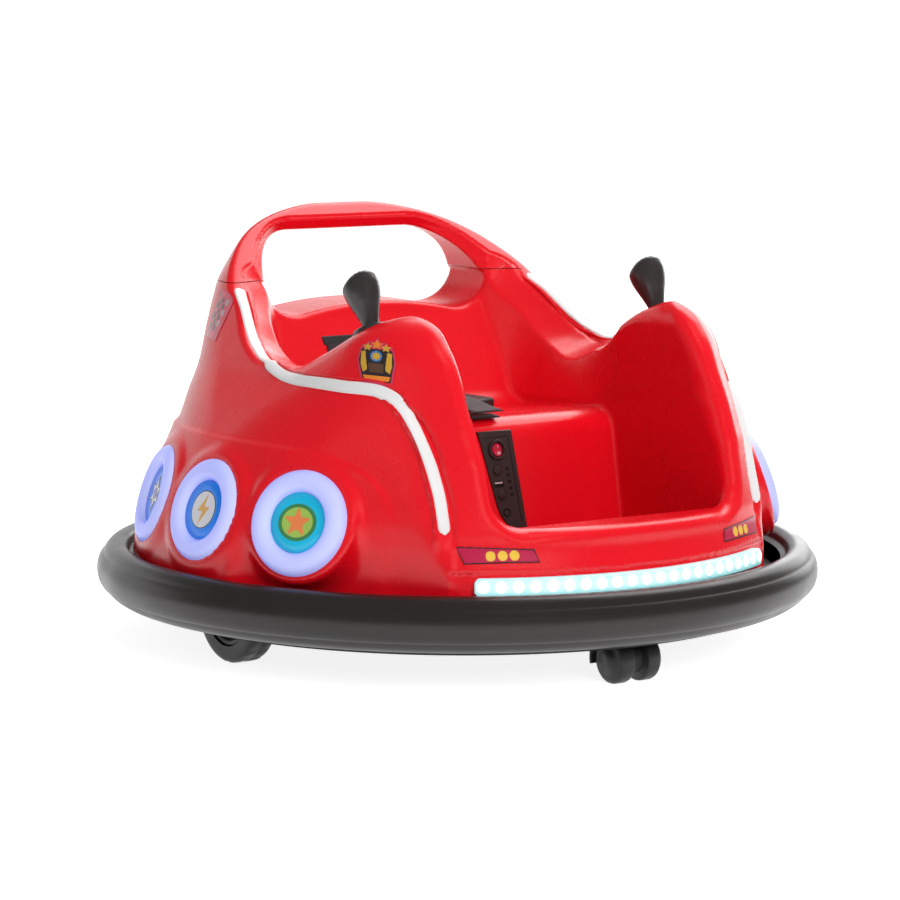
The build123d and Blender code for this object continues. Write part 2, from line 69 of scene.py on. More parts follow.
# Small steps of the outside, the recess of the light bar, and the lamps' pods and pockets
STRIPE_BAND_RISE = 0.0036
HOUSING_RISE = 0.0035
FRONT_SET_BACK = 0.0014
BAR_RECESS_HEIGHT = 0.104
BAR_RECESS_HALF = 0.0148
BAR_RECESS_REACH = 0.620
BAR_RECESS_R = 0.325
BAR_RECESS_DEPTH = 0.0022
POD_R = 0.0590
POD_BACK = 0.0045
POCKET_R = 0.0485
POCKET_DEPTH = 0.0130

# Height, half width, front, rear, front corner radius, rear corner radius
SHELL_SECTIONS = (
    (0.070, 0.330, 0.330, 0.330, 0.326, 0.326),
    (0.110, 0.326, 0.324, 0.327, 0.320, 0.322),
    (0.140, 0.320, 0.313, 0.320, 0.308, 0.314),
    (0.170, 0.309, 0.3126, 0.307, 0.309, 0.298),
    (0.200, 0.296, 0.3142, 0.287, 0.310, 0.280),
    (0.225, 0.282, 0.3176, 0.269, 0.310, 0.252),
    (0.253, 0.261, 0.3010, 0.253, 0.270, 0.208),
    (0.284, 0.232, 0.2632, 0.241, 0.185, 0.156),
    (0.320, 0.210, 0.2190, 0.238, 0.107, 0.122),
    (0.345, 0.196, 0.196, 0.237, 0.087, 0.105),
    (0.362, 0.188, 0.184, 0.237, 0.077, 0.100),
    (0.387, 0.171, 0.165, 0.236, 0.075, 0.096),
    (0.410, 0.152, 0.165, 0.234, 0.075, 0.092),
    (0.425, 0.133, 0.165, 0.232, 0.075, 0.090),
    (0.440, 0.100, 0.165, 0.228, 0.070, 0.085),
)

# Depth and height of the belt line, from the front humps to the leaning front of the hoop
BELT_LINE = (
    (-0.400, 0.350), (-0.155, 0.350), (-0.120, 0.340), (-0.070, 0.312), (-0.021, 0.290),
    (0.020, 0.290), (0.056, 0.301), (0.080, 0.315), (0.105, 0.335), (0.131, 0.355),
    (0.160, 0.380), (0.200, 0.414), (0.300, 0.499),
)

# Depth, height and corner radius of the footwell, the seat and its back
SEAT_LINE = (
    (-0.420, 0.157, 0), (-0.270, 0.157, 0), (-0.258, 0.082, 0), (-0.103, 0.082, 0.012),
    (-0.076, 0.234, 0.026), (0.092, 0.222, 0.035), (0.150, 0.330, 0.060), (0.150, 0.600, 0),
    (-0.420, 0.600, 0),
)

# Height, width of the slanting inner face of the rim and the hoop, and how deep it goes
RIM_FACE = (
    (0.270, 0.0340, 0.0150), (0.290, 0.0330, 0.0160), (0.301, 0.0290, 0.0165), (0.316, 0.0230, 0.0165),
    (0.331, 0.0165, 0.0165), (0.346, 0.0150, 0.0155), (0.362, 0.0200, 0.0125), (0.373, 0.0205, 0.0105),
    (0.382, 0.0172, 0.0100), (0.391, 0.0150, 0.0105), (0.401, 0.0135, 0.0120), (0.408, 0.0125, 0.0135),
    (0.440, 0.0125, 0.0140),
)

# Depth, and how far the tub's side walls lean out for each metre of height
WALL_LEAN = (
    (-0.400, 0.0), (-0.086, 0.0), (-0.084, 0.010), (0.000, 0.40), (0.030, 0.43), (0.070, 0.36),
    (0.110, 0.28), (0.140, 0.244), (0.200, 0.244),
)

# Height, and where the outer edge of the white stripe lies on the front: half width and depth
STRIPE_EDGE = (
    (0.140, 0.1975, -0.2515), (0.160, 0.1968, -0.2503), (0.170, 0.1963, -0.2489), (0.185, 0.1964, -0.2446),
    (0.200, 0.1971, -0.2382), (0.215, 0.1978, -0.2317), (0.230, 0.1987, -0.2249), (0.245, 0.2004, -0.2148),
    (0.260, 0.2034, -0.2012), (0.275, 0.2120, -0.1850), (0.290, 0.2320, -0.1500), (0.440, 0.2700, -0.1000),
)

# Angle from the front, and height of the upper edge of the lamp housing
HOUSING_EDGE = (
    (40.0, 0.150), (45.8, 0.170), (47.1, 0.186), (51.7, 0.2074), (57.9, 0.2188), (64.0, 0.2250),
    (79.0, 0.2275), (130.0, 0.2275),
)

# Height and radius of the front humps' inner edge
HUMP_EDGE = (
    (0.140, 0.014), (0.157, 0.017), (0.174, 0.019), (0.211, 0.022), (0.238, 0.025), (0.262, 0.025),
    (0.285, 0.024), (0.310, 0.024), (0.330, 0.024), (0.350, 0.020), (0.440, 0.012),
)

# Angle of each lamp from the front, and the place of its face
LAMP_ANGLES = (("front", 63.1), ("middle", 85.6), ("rear", 107.3))
LAMP_FACE_R = 0.317
LAMP_HEIGHT = 0.1595
LAMP_TILT = radians(18.0)
SIDES = (("left", -1), ("right", 1))


def smooth_curve(v, table, column):
    """Cubic through one column of a table, at values of its first column, without overshoot."""
    xs = np.array([row[0] for row in table])
    ys = np.array([row[column] for row in table])
    gap = np.diff(xs)
    rise = np.diff(ys) / gap
    slope = np.empty_like(ys)
    both = rise[:-1] * rise[1:]
    total = rise[:-1] + rise[1:]
    slope[1:-1] = np.where(both > 0, 2 * both / np.where(total == 0, 1, total), 0)
    slope[0] = rise[0]
    slope[-1] = rise[-1]
    v = np.clip(v, xs[0], xs[-1])
    i = np.clip(np.searchsorted(xs, v) - 1, 0, len(xs) - 2)
    t = (v - xs[i]) / gap[i]
    return (
        (2 * t**3 - 3 * t**2 + 1) * ys[i] + (t**3 - 2 * t**2 + t) * gap[i] * slope[i]
        + (3 * t**2 - 2 * t**3) * ys[i + 1] + (t**3 - t**2) * gap[i] * slope[i + 1]
    )


def curve_slope(v, table, column):
    """Slope of the curve through one column of a table."""
    step = 0.004
    return (smooth_curve(v + step, table, column) - smooth_curve(v - step, table, column)) / (2 * step)


def step_up(v, low, high):
    """Rises smoothly from nought to one between two values."""
    t = np.clip((v - low) / (high - low), 0, 1)
    return t * t * (3 - 2 * t)


def fuse(a, b, r):
    """Joins two forms with a fillet between them."""
    return np.maximum(r, np.minimum(a, b)) - np.hypot(np.maximum(r - a, 0), np.maximum(r - b, 0))


def keep(a, b, r):
    """Keeps what lies in both forms, with a rounded edge."""
    return np.minimum(-r, np.maximum(a, b)) + np.hypot(np.maximum(a + r, 0), np.maximum(b + r, 0))


def corner_distance(u, v, r):
    """Distance to a round corner, from how far a point lies past the middle of its arc."""
    return np.hypot(np.maximum(u, 0), np.maximum(v, 0)) + np.minimum(np.maximum(u, v), 0) - r


def polygon_distance(u, v, corners):
    """Distance to a closed outline, less than zero inside it."""
    best = np.full(np.broadcast(u, v).shape, 1e9, dtype=np.float32)
    sign = np.ones_like(best)
    for a, b in zip(corners, corners[1:] + corners[:1]):
        ex, ey = b[0] - a[0], b[1] - a[1]
        wx, wy = u - a[0], v - a[1]
        t = np.clip((wx * ex + wy * ey) / (ex * ex + ey * ey), 0, 1)
        best = np.minimum(best, (wx - ex * t) ** 2 + (wy - ey * t) ** 2)
        over = v >= a[1]
        under = v < b[1]
        left = ex * wy > ey * wx
        sign = np.where((over & under & left) | (~over & ~under & ~left), -sign, sign)
    return sign * np.sqrt(best)


def rounded_outline(corners, steps=7):
    """A closed outline with arcs of the given radii in its corners."""
    points = []
    for before, corner, after in zip(corners[-1:] + corners[:-1], corners, corners[1:] + corners[:1]):
        here = Vector(corner[:2])
        back = (Vector(before[:2]) - here).normalized()
        ahead = (Vector(after[:2]) - here).normalized()
        if corner[2] == 0:
            points.append(tuple(here))
            continue
        half = back.angle(ahead) / 2
        middle = here + (back + ahead).normalized() * corner[2] / sin(half)
        first = here + back * corner[2] / np.tan(half) - middle
        last = here + ahead * corner[2] / np.tan(half) - middle
        for k in range(steps + 1):
            ray = (first * (1 - k / steps) + last * k / steps).normalized() * corner[2]
            points.append(tuple(middle + ray))
    return points


SEAT_OUTLINE = rounded_outline(list(SEAT_LINE))


def lamp_frame(side, angle):
    """Centre of a lamp's face, its outward normal, and the directions across and up it."""
    out = Vector((side * sin(radians(angle)), -cos(radians(angle)), 0))
    normal = out * cos(LAMP_TILT) + Vector((0, 0, sin(LAMP_TILT)))
    centre = out * LAMP_FACE_R + Vector((0, 0, LAMP_HEIGHT))
    across = Vector((0, 0, 1)).cross(normal).normalized()
    return centre, normal, across, normal.cross(across)


def outer_form(x, y, z):
    """The shell's outside, as if nothing were sunk into it."""
    half, front, rear, front_r, rear_r = (smooth_curve(z, SHELL_SECTIONS, k) for k in range(1, 6))
    r = np.where(y < 0, front_r, rear_r)
    end = np.where(y < 0, front, rear)
    u = np.abs(x) - (half - r)
    v = np.abs(y) - (end - r)
    d = corner_distance(u, v, r) / np.sqrt(1 + curve_slope(z, SHELL_SECTIONS, 1) ** 2)
    around = np.arctan2(np.abs(x), -y)
    # The band under the stripe turns to the front, and the flank falls back behind its outer edge
    edge_x = smooth_curve(z, STRIPE_EDGE, 1)
    edge_y = smooth_curve(z, STRIPE_EDGE, 2)
    beyond = 0.78 * (np.abs(x) - edge_x) + 0.62 * (y - edge_y)
    beside_stripe = (1 - step_up(z, 0.255, 0.285)) * step_up(z, 0.136, 0.152) * (y < -0.10)
    turned_up = np.clip((beyond + 0.0075) / 0.0075, -1, 1) * step_up(beyond, -0.0210, -0.0150)
    turned_up = turned_up * (1 - step_up(beyond, 0.0005, 0.0030))
    d = d - STRIPE_BAND_RISE * turned_up * beside_stripe
    chord = 0.85 * (np.abs(x) - edge_x) - 0.52 * (y - edge_y)
    chord = chord - 0.030 * step_up(z, 0.262, 0.285) - 0.030 * step_up(y, -0.120, -0.040)
    d = keep(d, np.where(y < 0, chord, -1), 0.003)
    # Housing of the lamps, a little proud of the flank above it
    turn = np.degrees(around)
    housing = smooth_curve(turn, HOUSING_EDGE, 1) - z
    along_flank = step_up(turn, 44, 50) * (1 - step_up(turn, 118, 126))
    d = d - HOUSING_RISE * step_up(housing, -0.001, 0.0035) * along_flank
    # The front between the stripes is set back a little, below the foot of the stripes
    d = d + FRONT_SET_BACK * (1 - step_up(turn, 34.6, 35.3)) * (1 - step_up(z, 0.142, 0.158))
    for side_name, side in SIDES:
        for lamp_name, angle in LAMP_ANGLES:
            centre, normal, across, up = lamp_frame(side, angle)
            u, v, w = x - centre.x, y - centre.y, z - centre.z
            out = u * normal.x + v * normal.y + w * normal.z
            from_axis = np.sqrt(np.maximum(u * u + v * v + w * w - out * out, 0))
            pod = keep(from_axis - POD_R, np.maximum(out + POD_BACK, -out - 0.05), 0.006)
            d = fuse(d, pod, 0.012)
            pocket = np.maximum(from_axis - POCKET_R, -POCKET_DEPTH - out)
            d = keep(d, -pocket, 0.001)
    # Shallow recess round the front for the light bar
    past_end = (around - BAR_RECESS_REACH) * BAR_RECESS_R
    recess = np.maximum(np.abs(z - BAR_RECESS_HEIGHT) - BAR_RECESS_HALF, past_end)
    return keep(d, np.minimum(-recess, d + BAR_RECESS_DEPTH), 0.0012)


def shell_form(x, y, z):
    """The shell and the hoop above it, less than zero inside the plastic."""
    d = outer_form(x, y, z)
    above = (z - smooth_curve(y, BELT_LINE, 1)) / np.sqrt(1 + curve_slope(y, BELT_LINE, 1) ** 2)
    back = np.clip((y + 0.06) / 0.08, 0, 1)
    # Footwell and bucket seat, with round rear corners; the sides open out towards the rim
    u = np.abs(x) - (TUB - SEATBACK_CORNER)
    v = np.abs(y - SEAT_MIDDLE) - (SEATBACK - SEAT_MIDDLE - SEATBACK_CORNER)
    lean = smooth_curve(y, WALL_LEAN, 1)
    plan = corner_distance(u, v, SEATBACK_CORNER) - lean * np.clip(z - LEAN_START, 0, LEAN_TALL)
    plan = plan / np.sqrt(1 + lean**2)
    tub = keep(plan, polygon_distance(y, z, SEAT_OUTLINE), 0.004 + 0.022 * step_up(-y, 0.200, 0.250))
    # Hole under the hoop, above a crowned deck
    floor = DECK_HEIGHT - DECK_FALL * (x / TUB) ** 2
    centre = (HOLE_TOP + floor) / 2
    r = np.where(z > centre, HOLE_TOP_R, HOLE_FOOT_R)
    r = np.minimum(r, (HOLE_TOP - floor) / 2 + 0.03)
    u = np.abs(x) - (HOLE_HALF_WIDTH - r)
    v = np.maximum(z - (HOLE_TOP - r), (floor + r) - z)
    hole = keep(corner_distance(u, v, r), 0.09 - y, 0.006)
    inner = np.minimum(tub, hole)
    width = smooth_curve(z, RIM_FACE, 1)
    depth = smooth_curve(z, RIM_FACE, 2)
    # The outer half of the rim stands a little proud of its inner half
    raised = step_up(inner, width + 0.0005, width + 0.004)
    raised = raised * (0.0022 + 0.16 * np.clip(inner - width, 0, 0.030))
    above = above - raised * step_up(y, -0.045, 0.010) * (1 - step_up(z, 0.340, 0.360))
    d = keep(d, above, 0.019 - 0.014 * back)
    edge_r = 0.012 + (smooth_curve(z, HUMP_EDGE, 1) - 0.012) * np.clip((np.abs(x) - 0.100) / 0.030, 0, 1)
    edge_r = 0.006 + (edge_r - 0.006) * step_up(-y, 0.085, 0.165)
    d = keep(d, -tub, edge_r)
    d = keep(d, -hole, 0.005)
    # Slanting inner face of the hoop and of the rim, with a fine groove along its outer side
    share = step_up(y, -0.030, 0.020)
    slant = (share - inner / width + above / depth) / np.sqrt(1 / width**2 + 1 / depth**2)
    d = keep(d, np.where(y > -0.02, slant, -1), 0.0015)
    groove = np.hypot(inner - width * share, above) - RIM_GROOVE_R * np.clip(y / 0.03, 0, 1)
    return np.maximum(d, np.where(y > 0, -groove, -1))


def surface_normal(form, points):
    """Unit outward directions of a form at some points."""
    step = 0.0008
    grad = np.empty_like(points)
    for k in range(3):
        shift = np.zeros(3)
        shift[k] = step
        ahead = form(*(points + shift).T)
        behind = form(*(points - shift).T)
        grad[:, k] = ahead - behind
    return grad / np.maximum(np.linalg.norm(grad, axis=1, keepdims=True), 1e-9)


def settle(form, points, turns=4):
    """Moves points onto a form's surface."""
    points = np.array(points, dtype=float)
    for again in range(turns):
        move = np.clip(form(*points.T), -0.003, 0.003)
        points = points - surface_normal(form, points) * move[:, None]
    return points


def moulded(form, low, high, grain, evenings=3):
    """Points and quads of a form's surface inside a box."""
    axes = [np.arange(a, b + grain, grain, dtype=np.float32) for a, b in zip(low, high)]
    field = form(*np.meshgrid(*axes, indexing="ij"))
    grid = openvdb.FloatGrid(background=1.0)
    grid.copyFromArray(np.ascontiguousarray(field, dtype=np.float32))
    points, triangles, quads = grid.convertToPolygons(isovalue=0.0, adaptivity=0.0)
    points = settle(form, points * grain + np.array(low))
    # Evens out the mesh: each point moves towards its neighbours along the surface
    edges = np.vstack([quads[:, [k, (k + 1) % 4]] for k in range(4)])
    count = np.bincount(edges.ravel(), minlength=len(points))[:, None]
    for again in range(evenings):
        total = np.stack([
            np.bincount(edges[:, 0], points[edges[:, 1], k], len(points))
            + np.bincount(edges[:, 1], points[edges[:, 0], k], len(points)) for k in range(3)
        ], axis=1)
        move = np.where(count > 0, total / np.maximum(count, 1) - points, 0)
        normal = surface_normal(form, points)
        points = points + 0.6 * (move - normal * (move * normal).sum(axis=1, keepdims=True))
        points = settle(form, points, 1)
    return points, triangles.tolist() + quads[:, ::-1].tolist()


def new_piece(name, points, faces, finish, body="chassis", slot=None, smooth=True):
    """A named mesh that rides on a body."""
    mesh = bpy.data.meshes.new(name)
    mesh.from_pydata(np.asarray(points, dtype=float).tolist(), [], faces)
    mesh.validate()
    mesh.polygons.foreach_set("use_smooth", [smooth] * len(mesh.polygons))
    piece = bpy.data.objects.new(name, mesh)
    bpy.context.scene.collection.objects.link(piece)
    if finish is not None:
        mesh.materials.append(finish)
    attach(piece, body)
    return piece


def cut_level(piece, height, drop_above, closed):
    """Cuts a piece level at a height; a closed cut gets a flat face with a sharp edge."""
    work = bmesh.new()
    work.from_mesh(piece.data)
    found = bmesh.ops.bisect_plane(
        work, geom=work.verts[:] + work.edges[:] + work.faces[:], plane_co=(0, 0, height),
        plane_no=(0, 0, 1), clear_outer=drop_above, clear_inner=not drop_above,
    )
    if closed:
        rim = [part for part in found["geom_cut"] if isinstance(part, bmesh.types.BMEdge)]
        for flat in bmesh.ops.edgeloop_fill(work, edges=rim)["faces"] + rim:
            flat.smooth = False
    work.to_mesh(piece.data)
    work.free()


def drop_faces(piece, unwanted):
    """Deletes the faces whose centre meets a test."""
    work = bmesh.new()
    work.from_mesh(piece.data)
    gone = [face for face in work.faces if unwanted(face.calc_center_median())]
    bmesh.ops.delete(work, geom=gone, context="FACES")
    work.to_mesh(piece.data)
    work.free()


def new_finish(name, colour, roughness=0.5, coat=0.0, sheen=0.0, metal=0.0, glow=None, strength=0.0):
    """A material, its shader and its node tree."""
    finish = bpy.data.materials.new(name)
    finish.use_nodes = True
    tree = finish.node_tree
    shader = tree.nodes["Principled BSDF"]
    shader.inputs["Base Color"].default_value = (*colour, 1)
    shader.inputs["Roughness"].default_value = roughness
    shader.inputs["Metallic"].default_value = metal
    shader.inputs["Coat Weight"].default_value = coat
    shader.inputs["Coat Roughness"].default_value = 0.06
    shader.inputs["Sheen Weight"].default_value = sheen
    shader.inputs["Specular IOR Level"].default_value = 0.42
    if glow:
        shader.inputs["Emission Color"].default_value = (*glow, 1)
        shader.inputs["Emission Strength"].default_value = strength
    return finish, shader, tree


def add_node(tree, kind, values=None, **settings):
    """A node of a material, with the values of its inputs."""
    node = tree.nodes.new(kind)
    for setting, value in settings.items():
        setattr(node, setting, value)
    for socket, value in (values or {}).items():
        node.inputs[socket].default_value = value
    return node


def speckle(tree, scale, detail):
    """A soft noise in the object's own coordinates."""
    place = add_node(tree, "ShaderNodeTexCoord")
    noise = add_node(tree, "ShaderNodeTexNoise", {"Scale": scale, "Detail": detail})
    tree.links.new(place.outputs["Object"], noise.inputs["Vector"])
    return noise.outputs["Fac"]


def mottle(tree, scale, low=0.0, high=1.0):
    """A soft noise between two values."""
    span = add_node(
        tree, "ShaderNodeMapRange", {"From Min": 0.15, "From Max": 0.85, "To Min": low, "To Max": high},
        interpolation_type="SMOOTHSTEP",
    )
    tree.links.new(speckle(tree, scale, 3.0), span.inputs["Value"])
    return span.outputs["Result"]


def grain_bump(tree, shader, height, strength):
    """Fine relief on a surface from a height value."""
    bump = add_node(tree, "ShaderNodeBump", {"Strength": strength, "Distance": 0.0004})
    tree.links.new(height, bump.inputs["Height"])
    tree.links.new(bump.outputs["Normal"], shader.inputs["Normal"])


def two_tone(tree, shader, factor, first, second, socket="Base Color"):
    """Lets a surface vary between two colours."""
    mix = add_node(tree, "ShaderNodeMix", {6: (*first, 1), 7: (*second, 1)}, data_type="RGBA")
    tree.links.new(factor, mix.inputs[0])
    tree.links.new(mix.outputs[2], shader.inputs[socket])


def plastic(name, colour, roughness, coat, orange_peel, grain, shade=0.9):
    """Moulded plastic: a faint variation of colour and gloss, and a fine relief."""
    finish, shader, tree = new_finish(name, colour, roughness, coat)
    if shade < 1:
        two_tone(tree, shader, mottle(tree, 9.0), colour, tuple(c * shade for c in colour))
    tree.links.new(mottle(tree, 26.0, roughness * 0.88, roughness * 1.14), shader.inputs["Roughness"])
    grain_bump(tree, shader, speckle(tree, grain, 2.0), orange_peel)
    return finish


red_plastic = plastic("red_plastic", (0.76, 0.0035, 0.012), 0.27, 0.0, 0.02, 900.0, shade=1.0)
points, faces = moulded(shell_form, (-0.342, -0.342, 0.064), (0.342, 0.342, 0.370), 0.003)
body_shell = new_piece("body_shell_moulding", points, faces, red_plastic, slot="red_shell")
skirt = new_piece("skirt_moulding", points, faces, red_plastic, slot="red_shell")
cut_level(body_shell, SEAM - SEAM_GAP / 2, drop_above=True, closed=True)
cut_level(body_shell, PARTING, drop_above=False, closed=False)
cut_level(skirt, PARTING, drop_above=True, closed=False)
drop_faces(skirt, lambda c: c.z < SHELL_FOOT + 0.002)
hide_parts("tub_shell", "flank_left", "flank_right")

# Roll hoop
# A separate moulding of the same red plastic that closes the body's posts into a hoop; its
# foot meets the body along a level joint, and screws from behind hold it.
points, faces = moulded(shell_form, (-0.200, 0.110, 0.350), (0.200, 0.246, 0.446), 0.002)
hoop = new_piece("hoop_moulding", points, faces, red_plastic, slot="red_shell")
cut_level(hoop, SEAM + SEAM_GAP / 2, drop_above=False, closed=True)
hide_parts("hoop")

# Side stripes
# White plastic inlays that run from the hoop along the rim, dip beside the seat and drop down
# the front of each hump, each with a thin red lip on its outer side.
STRIPE_LINE = (
    (0.181, 0.131, 0.3595), (0.184, 0.125, 0.354), (0.192, 0.105, 0.337), (0.201, 0.078, 0.315),
    (0.208, 0.052, 0.302), (0.216, 0.022, 0.292), (0.226, -0.020, 0.2860), (0.231, -0.068, 0.284),
    (0.224, -0.128, 0.284), (0.214, -0.158, 0.284), (0.207, -0.172, 0.282), (0.200, -0.190, 0.275),
    (0.196, -0.206, 0.262), (0.194, -0.218, 0.246), (0.191, -0.232, 0.222), (0.188, -0.243, 0.192),
    (0.188, -0.250, 0.168), (0.188, -0.254, 0.154),
)


def fair_line(points, spacing):
    """Evenly spaced points on a smooth line through some points."""
    points = np.array(points, dtype=float)
    ends = np.vstack([2 * points[0] - points[1], points, 2 * points[-1] - points[-2]])
    fine = []
    for k in range(1, len(ends) - 2):
        a, b, c, d = ends[k - 1:k + 3]
        for t in np.linspace(0, 1, 24, endpoint=False):
            fine.append(0.5 * (2 * b + (c - a) * t + (2 * a - 5 * b + 4 * c - d) * t**2
                               + (3 * b - a - 3 * c + d) * t**3))
    fine.append(ends[-2])
    fine = np.array(fine)
    run = np.concatenate([[0], np.cumsum(np.linalg.norm(np.diff(fine, axis=0), axis=1))])
    even = np.linspace(0, run[-1], max(3, int(run[-1] / spacing)))
    return np.stack([np.interp(even, run, fine[:, k]) for k in range(3)], axis=1)


def band_on(form, line, width, rise, offset=0.0, spacing=0.003, columns=10, sunk=0.0015):
    """Points and quads of a raised band along a line on a form, with rounded ends."""
    path = settle(form, fair_line(line, spacing))
    along = np.gradient(path, axis=0)
    along /= np.linalg.norm(along, axis=1, keepdims=True)
    across = np.cross(along, surface_normal(form, path))
    across /= np.linalg.norm(across, axis=1, keepdims=True)
    run = np.concatenate([[0], np.cumsum(np.linalg.norm(np.diff(path, axis=0), axis=1))])
    to_end = np.minimum(run, run[-1] - run)
    half = width / 2
    inside = np.clip(half - to_end, 0, half)
    reach = np.sqrt(np.maximum(half**2 - inside**2, (0.15 * half) ** 2))
    spread = np.linspace(-1, 1, columns)
    base = path[:, None, :] + across[:, None, :] * (offset + spread[None, :] * reach[:, None])[..., None]
    rows = len(path)
    flat = settle(form, base.reshape(-1, 3))
    normal = surface_normal(form, flat)
    lift = rise * np.sqrt(np.clip(1 - np.abs(np.tile(spread, rows)) ** 4, 0, 1))
    lift[:columns] *= 0.2
    lift[-columns:] *= 0.2
    top = flat + normal * (lift - sunk * (np.abs(np.tile(spread, rows)) > 0.999))[:, None]
    grid = np.arange(rows * columns).reshape(rows, columns)
    quads = np.stack([grid[:-1, :-1], grid[:-1, 1:], grid[1:, 1:], grid[1:, :-1]], axis=-1)
    return top, quads.reshape(-1, 4).tolist()


def mirrored(points, faces, side):
    """The same mesh on the car's other side."""
    if side > 0:
        return points, faces
    return points * np.array([-1, 1, 1]), [face[::-1] for face in faces]


white_plastic = plastic("white_plastic", (0.78, 0.78, 0.78), 0.32, 0.2, 0.03, 240.0, shade=0.96)
stripe = band_on(shell_form, STRIPE_LINE, 0.0140, 0.0016)
lip = band_on(shell_form, STRIPE_LINE, 0.0026, 0.0013, offset=0.0090, columns=6)
for side_name, side in SIDES:
    new_piece(f"stripe_{side_name}", *mirrored(*stripe, side), white_plastic)
    new_piece(f"stripe_lip_{side_name}", *mirrored(*lip, side), red_plastic, slot="red_shell")

# Lamps on the flanks
# Six round lamps in raised pods: a milky plastic light ring that glows from inside, round a
# blue printed disc with a simple emblem.
LAMP_PROFILE = (
    (0.0295, -0.0020), (0.0303, 0.0006), (0.0322, 0.0032), (0.0354, 0.0052), (0.0396, 0.0060),
    (0.0438, 0.0054), (0.0476, 0.0034), (0.0503, 0.0004), (0.0516, -0.0035), (0.0519, -0.0080),
    (0.0517, -0.0240),
)
DISC_SUNK = 0.0005
DISC_R = 0.0292
EMBLEM_STEP = 0.0002


def turned(profile, centre, normal, steps=96, start=Vector((0, 0, 1))):
    """Points and quads of an outline of radius and height turned about an axis."""
    normal = Vector(normal).normalized()
    first = start if abs(normal.dot(start)) < 0.9 else Vector((0, 1, 0))
    across = first.cross(normal).normalized()
    up = normal.cross(across)
    points = []
    for k in range(steps):
        turn = tau * k / steps
        ray = across * cos(turn) + up * sin(turn)
        points += [tuple(Vector(centre) + ray * r + normal * h) for r, h in profile]
    n = len(profile)
    quads = []
    for k in range(steps):
        for j in range(n - 1):
            a, b = k * n + j, (k + 1) % steps * n + j
            quads.append([a, b, b + 1, a + 1])
    return np.array(points), quads


def flat_shape(outline, centre, across, up, normal, lift, thickness):
    """Points and faces of a thin flat shape on a plane."""
    points = []
    for height in (lift - thickness, lift):
        points += [tuple(centre + across * u + up * v + normal * height) for u, v in outline]
    n = len(outline)
    faces = [list(range(n, 2 * n))]
    faces += [[k, (k + 1) % n, n + (k + 1) % n, n + k] for k in range(n)]
    return np.array(points), faces


def circle(radius, steps, u=0.0, v=0.0, flat=1.0):
    """Outline of a circle or an oval."""
    turns = [tau * k / steps for k in range(steps)]
    return [(u + radius * cos(turn), v + flat * radius * sin(turn)) for turn in turns]


def star(points, outer, inner):
    """Outline of a star with one point up."""
    rays = [(inner if k % 2 else outer, pi / 2 + pi * k / points) for k in range(2 * points)]
    return [(reach * cos(turn), reach * sin(turn)) for reach, turn in rays]


def print_finish(name, colour, glow):
    """Printed film on a lit disc: a flat ink with a soft glow from behind and a slight mottle."""
    finish, shader, tree = new_finish(name, colour, 0.35, 0.3, glow=colour, strength=glow)
    two_tone(tree, shader, mottle(tree, 40.0), colour, tuple(c * 0.88 for c in colour))
    return finish


# Milky plastic lit from inside: white in the middle of the ring, bluer at its edges
GLOW_WHITE = (0.62, 0.66, 1.0)
GLOW_BLUE = (0.10, 0.16, 0.95)
lamp_glow, glow_shader, glow_tree = new_finish(
    "lamp_glow", (0.30, 0.32, 0.62), 0.35, 0.1, glow=GLOW_WHITE, strength=0.48
)
two_tone(glow_tree, glow_shader, mottle(glow_tree, 14.0), (0.30, 0.32, 0.62), (0.33, 0.36, 0.66))
glow_edge = add_node(glow_tree, "ShaderNodeLayerWeight", {"Blend": 0.42})
two_tone(glow_tree, glow_shader, glow_edge.outputs["Facing"], GLOW_WHITE, GLOW_BLUE, "Emission Color")

DISC_INKS = (
    ("cyan", (0.003, 0.37, 0.56), 0.35), ("blue", (0.006, 0.17, 0.66), 0.35),
    ("deep_blue", (0.006, 0.13, 0.64), 0.35), ("green", (0.04, 0.20, 0.07), 0.15),
    ("lime", (0.30, 0.46, 0.08), 0.15), ("orange", (0.72, 0.20, 0.06), 0.15),
    ("white", (0.62, 0.62, 0.66), 0.15), ("ochre", (0.60, 0.33, 0.07), 0.15),
    ("dark", (0.03, 0.04, 0.05), 0.05), ("violet", (0.10, 0.09, 0.36), 0.15),
)
disc_inks = {ink: print_finish(f"ink_{ink}", colour, glow) for ink, colour, glow in DISC_INKS}
BOLT = [
    (0.003, 0.016), (-0.009, -0.002), (-0.001, -0.002), (-0.004, -0.016), (0.009, 0.003), (0.001, 0.003),
]
EMBLEMS = {
    "front": ("cyan", (
        ("green", circle(0.0210, 40, 0, 0, 0.86)), ("lime", circle(0.0170, 40, 0, 0, 0.86)),
        ("orange", star(5, 0.0150, 0.0066)),
    )),
    "middle": ("blue", (
        ("dark", circle(0.0190, 40)), ("white", circle(0.0180, 40)), ("ochre", BOLT),
    )),
    "rear": ("deep_blue", (
        ("dark", star(6, 0.0185, 0.0095)), ("white", star(6, 0.0150, 0.0075)),
        ("violet", circle(0.0060, 24)),
    )),
}
disc_profile = [(r, -DISC_SUNK) for r in (0.0001, 0.0200, DISC_R)] + [(DISC_R, -DISC_SUNK - 0.004)]
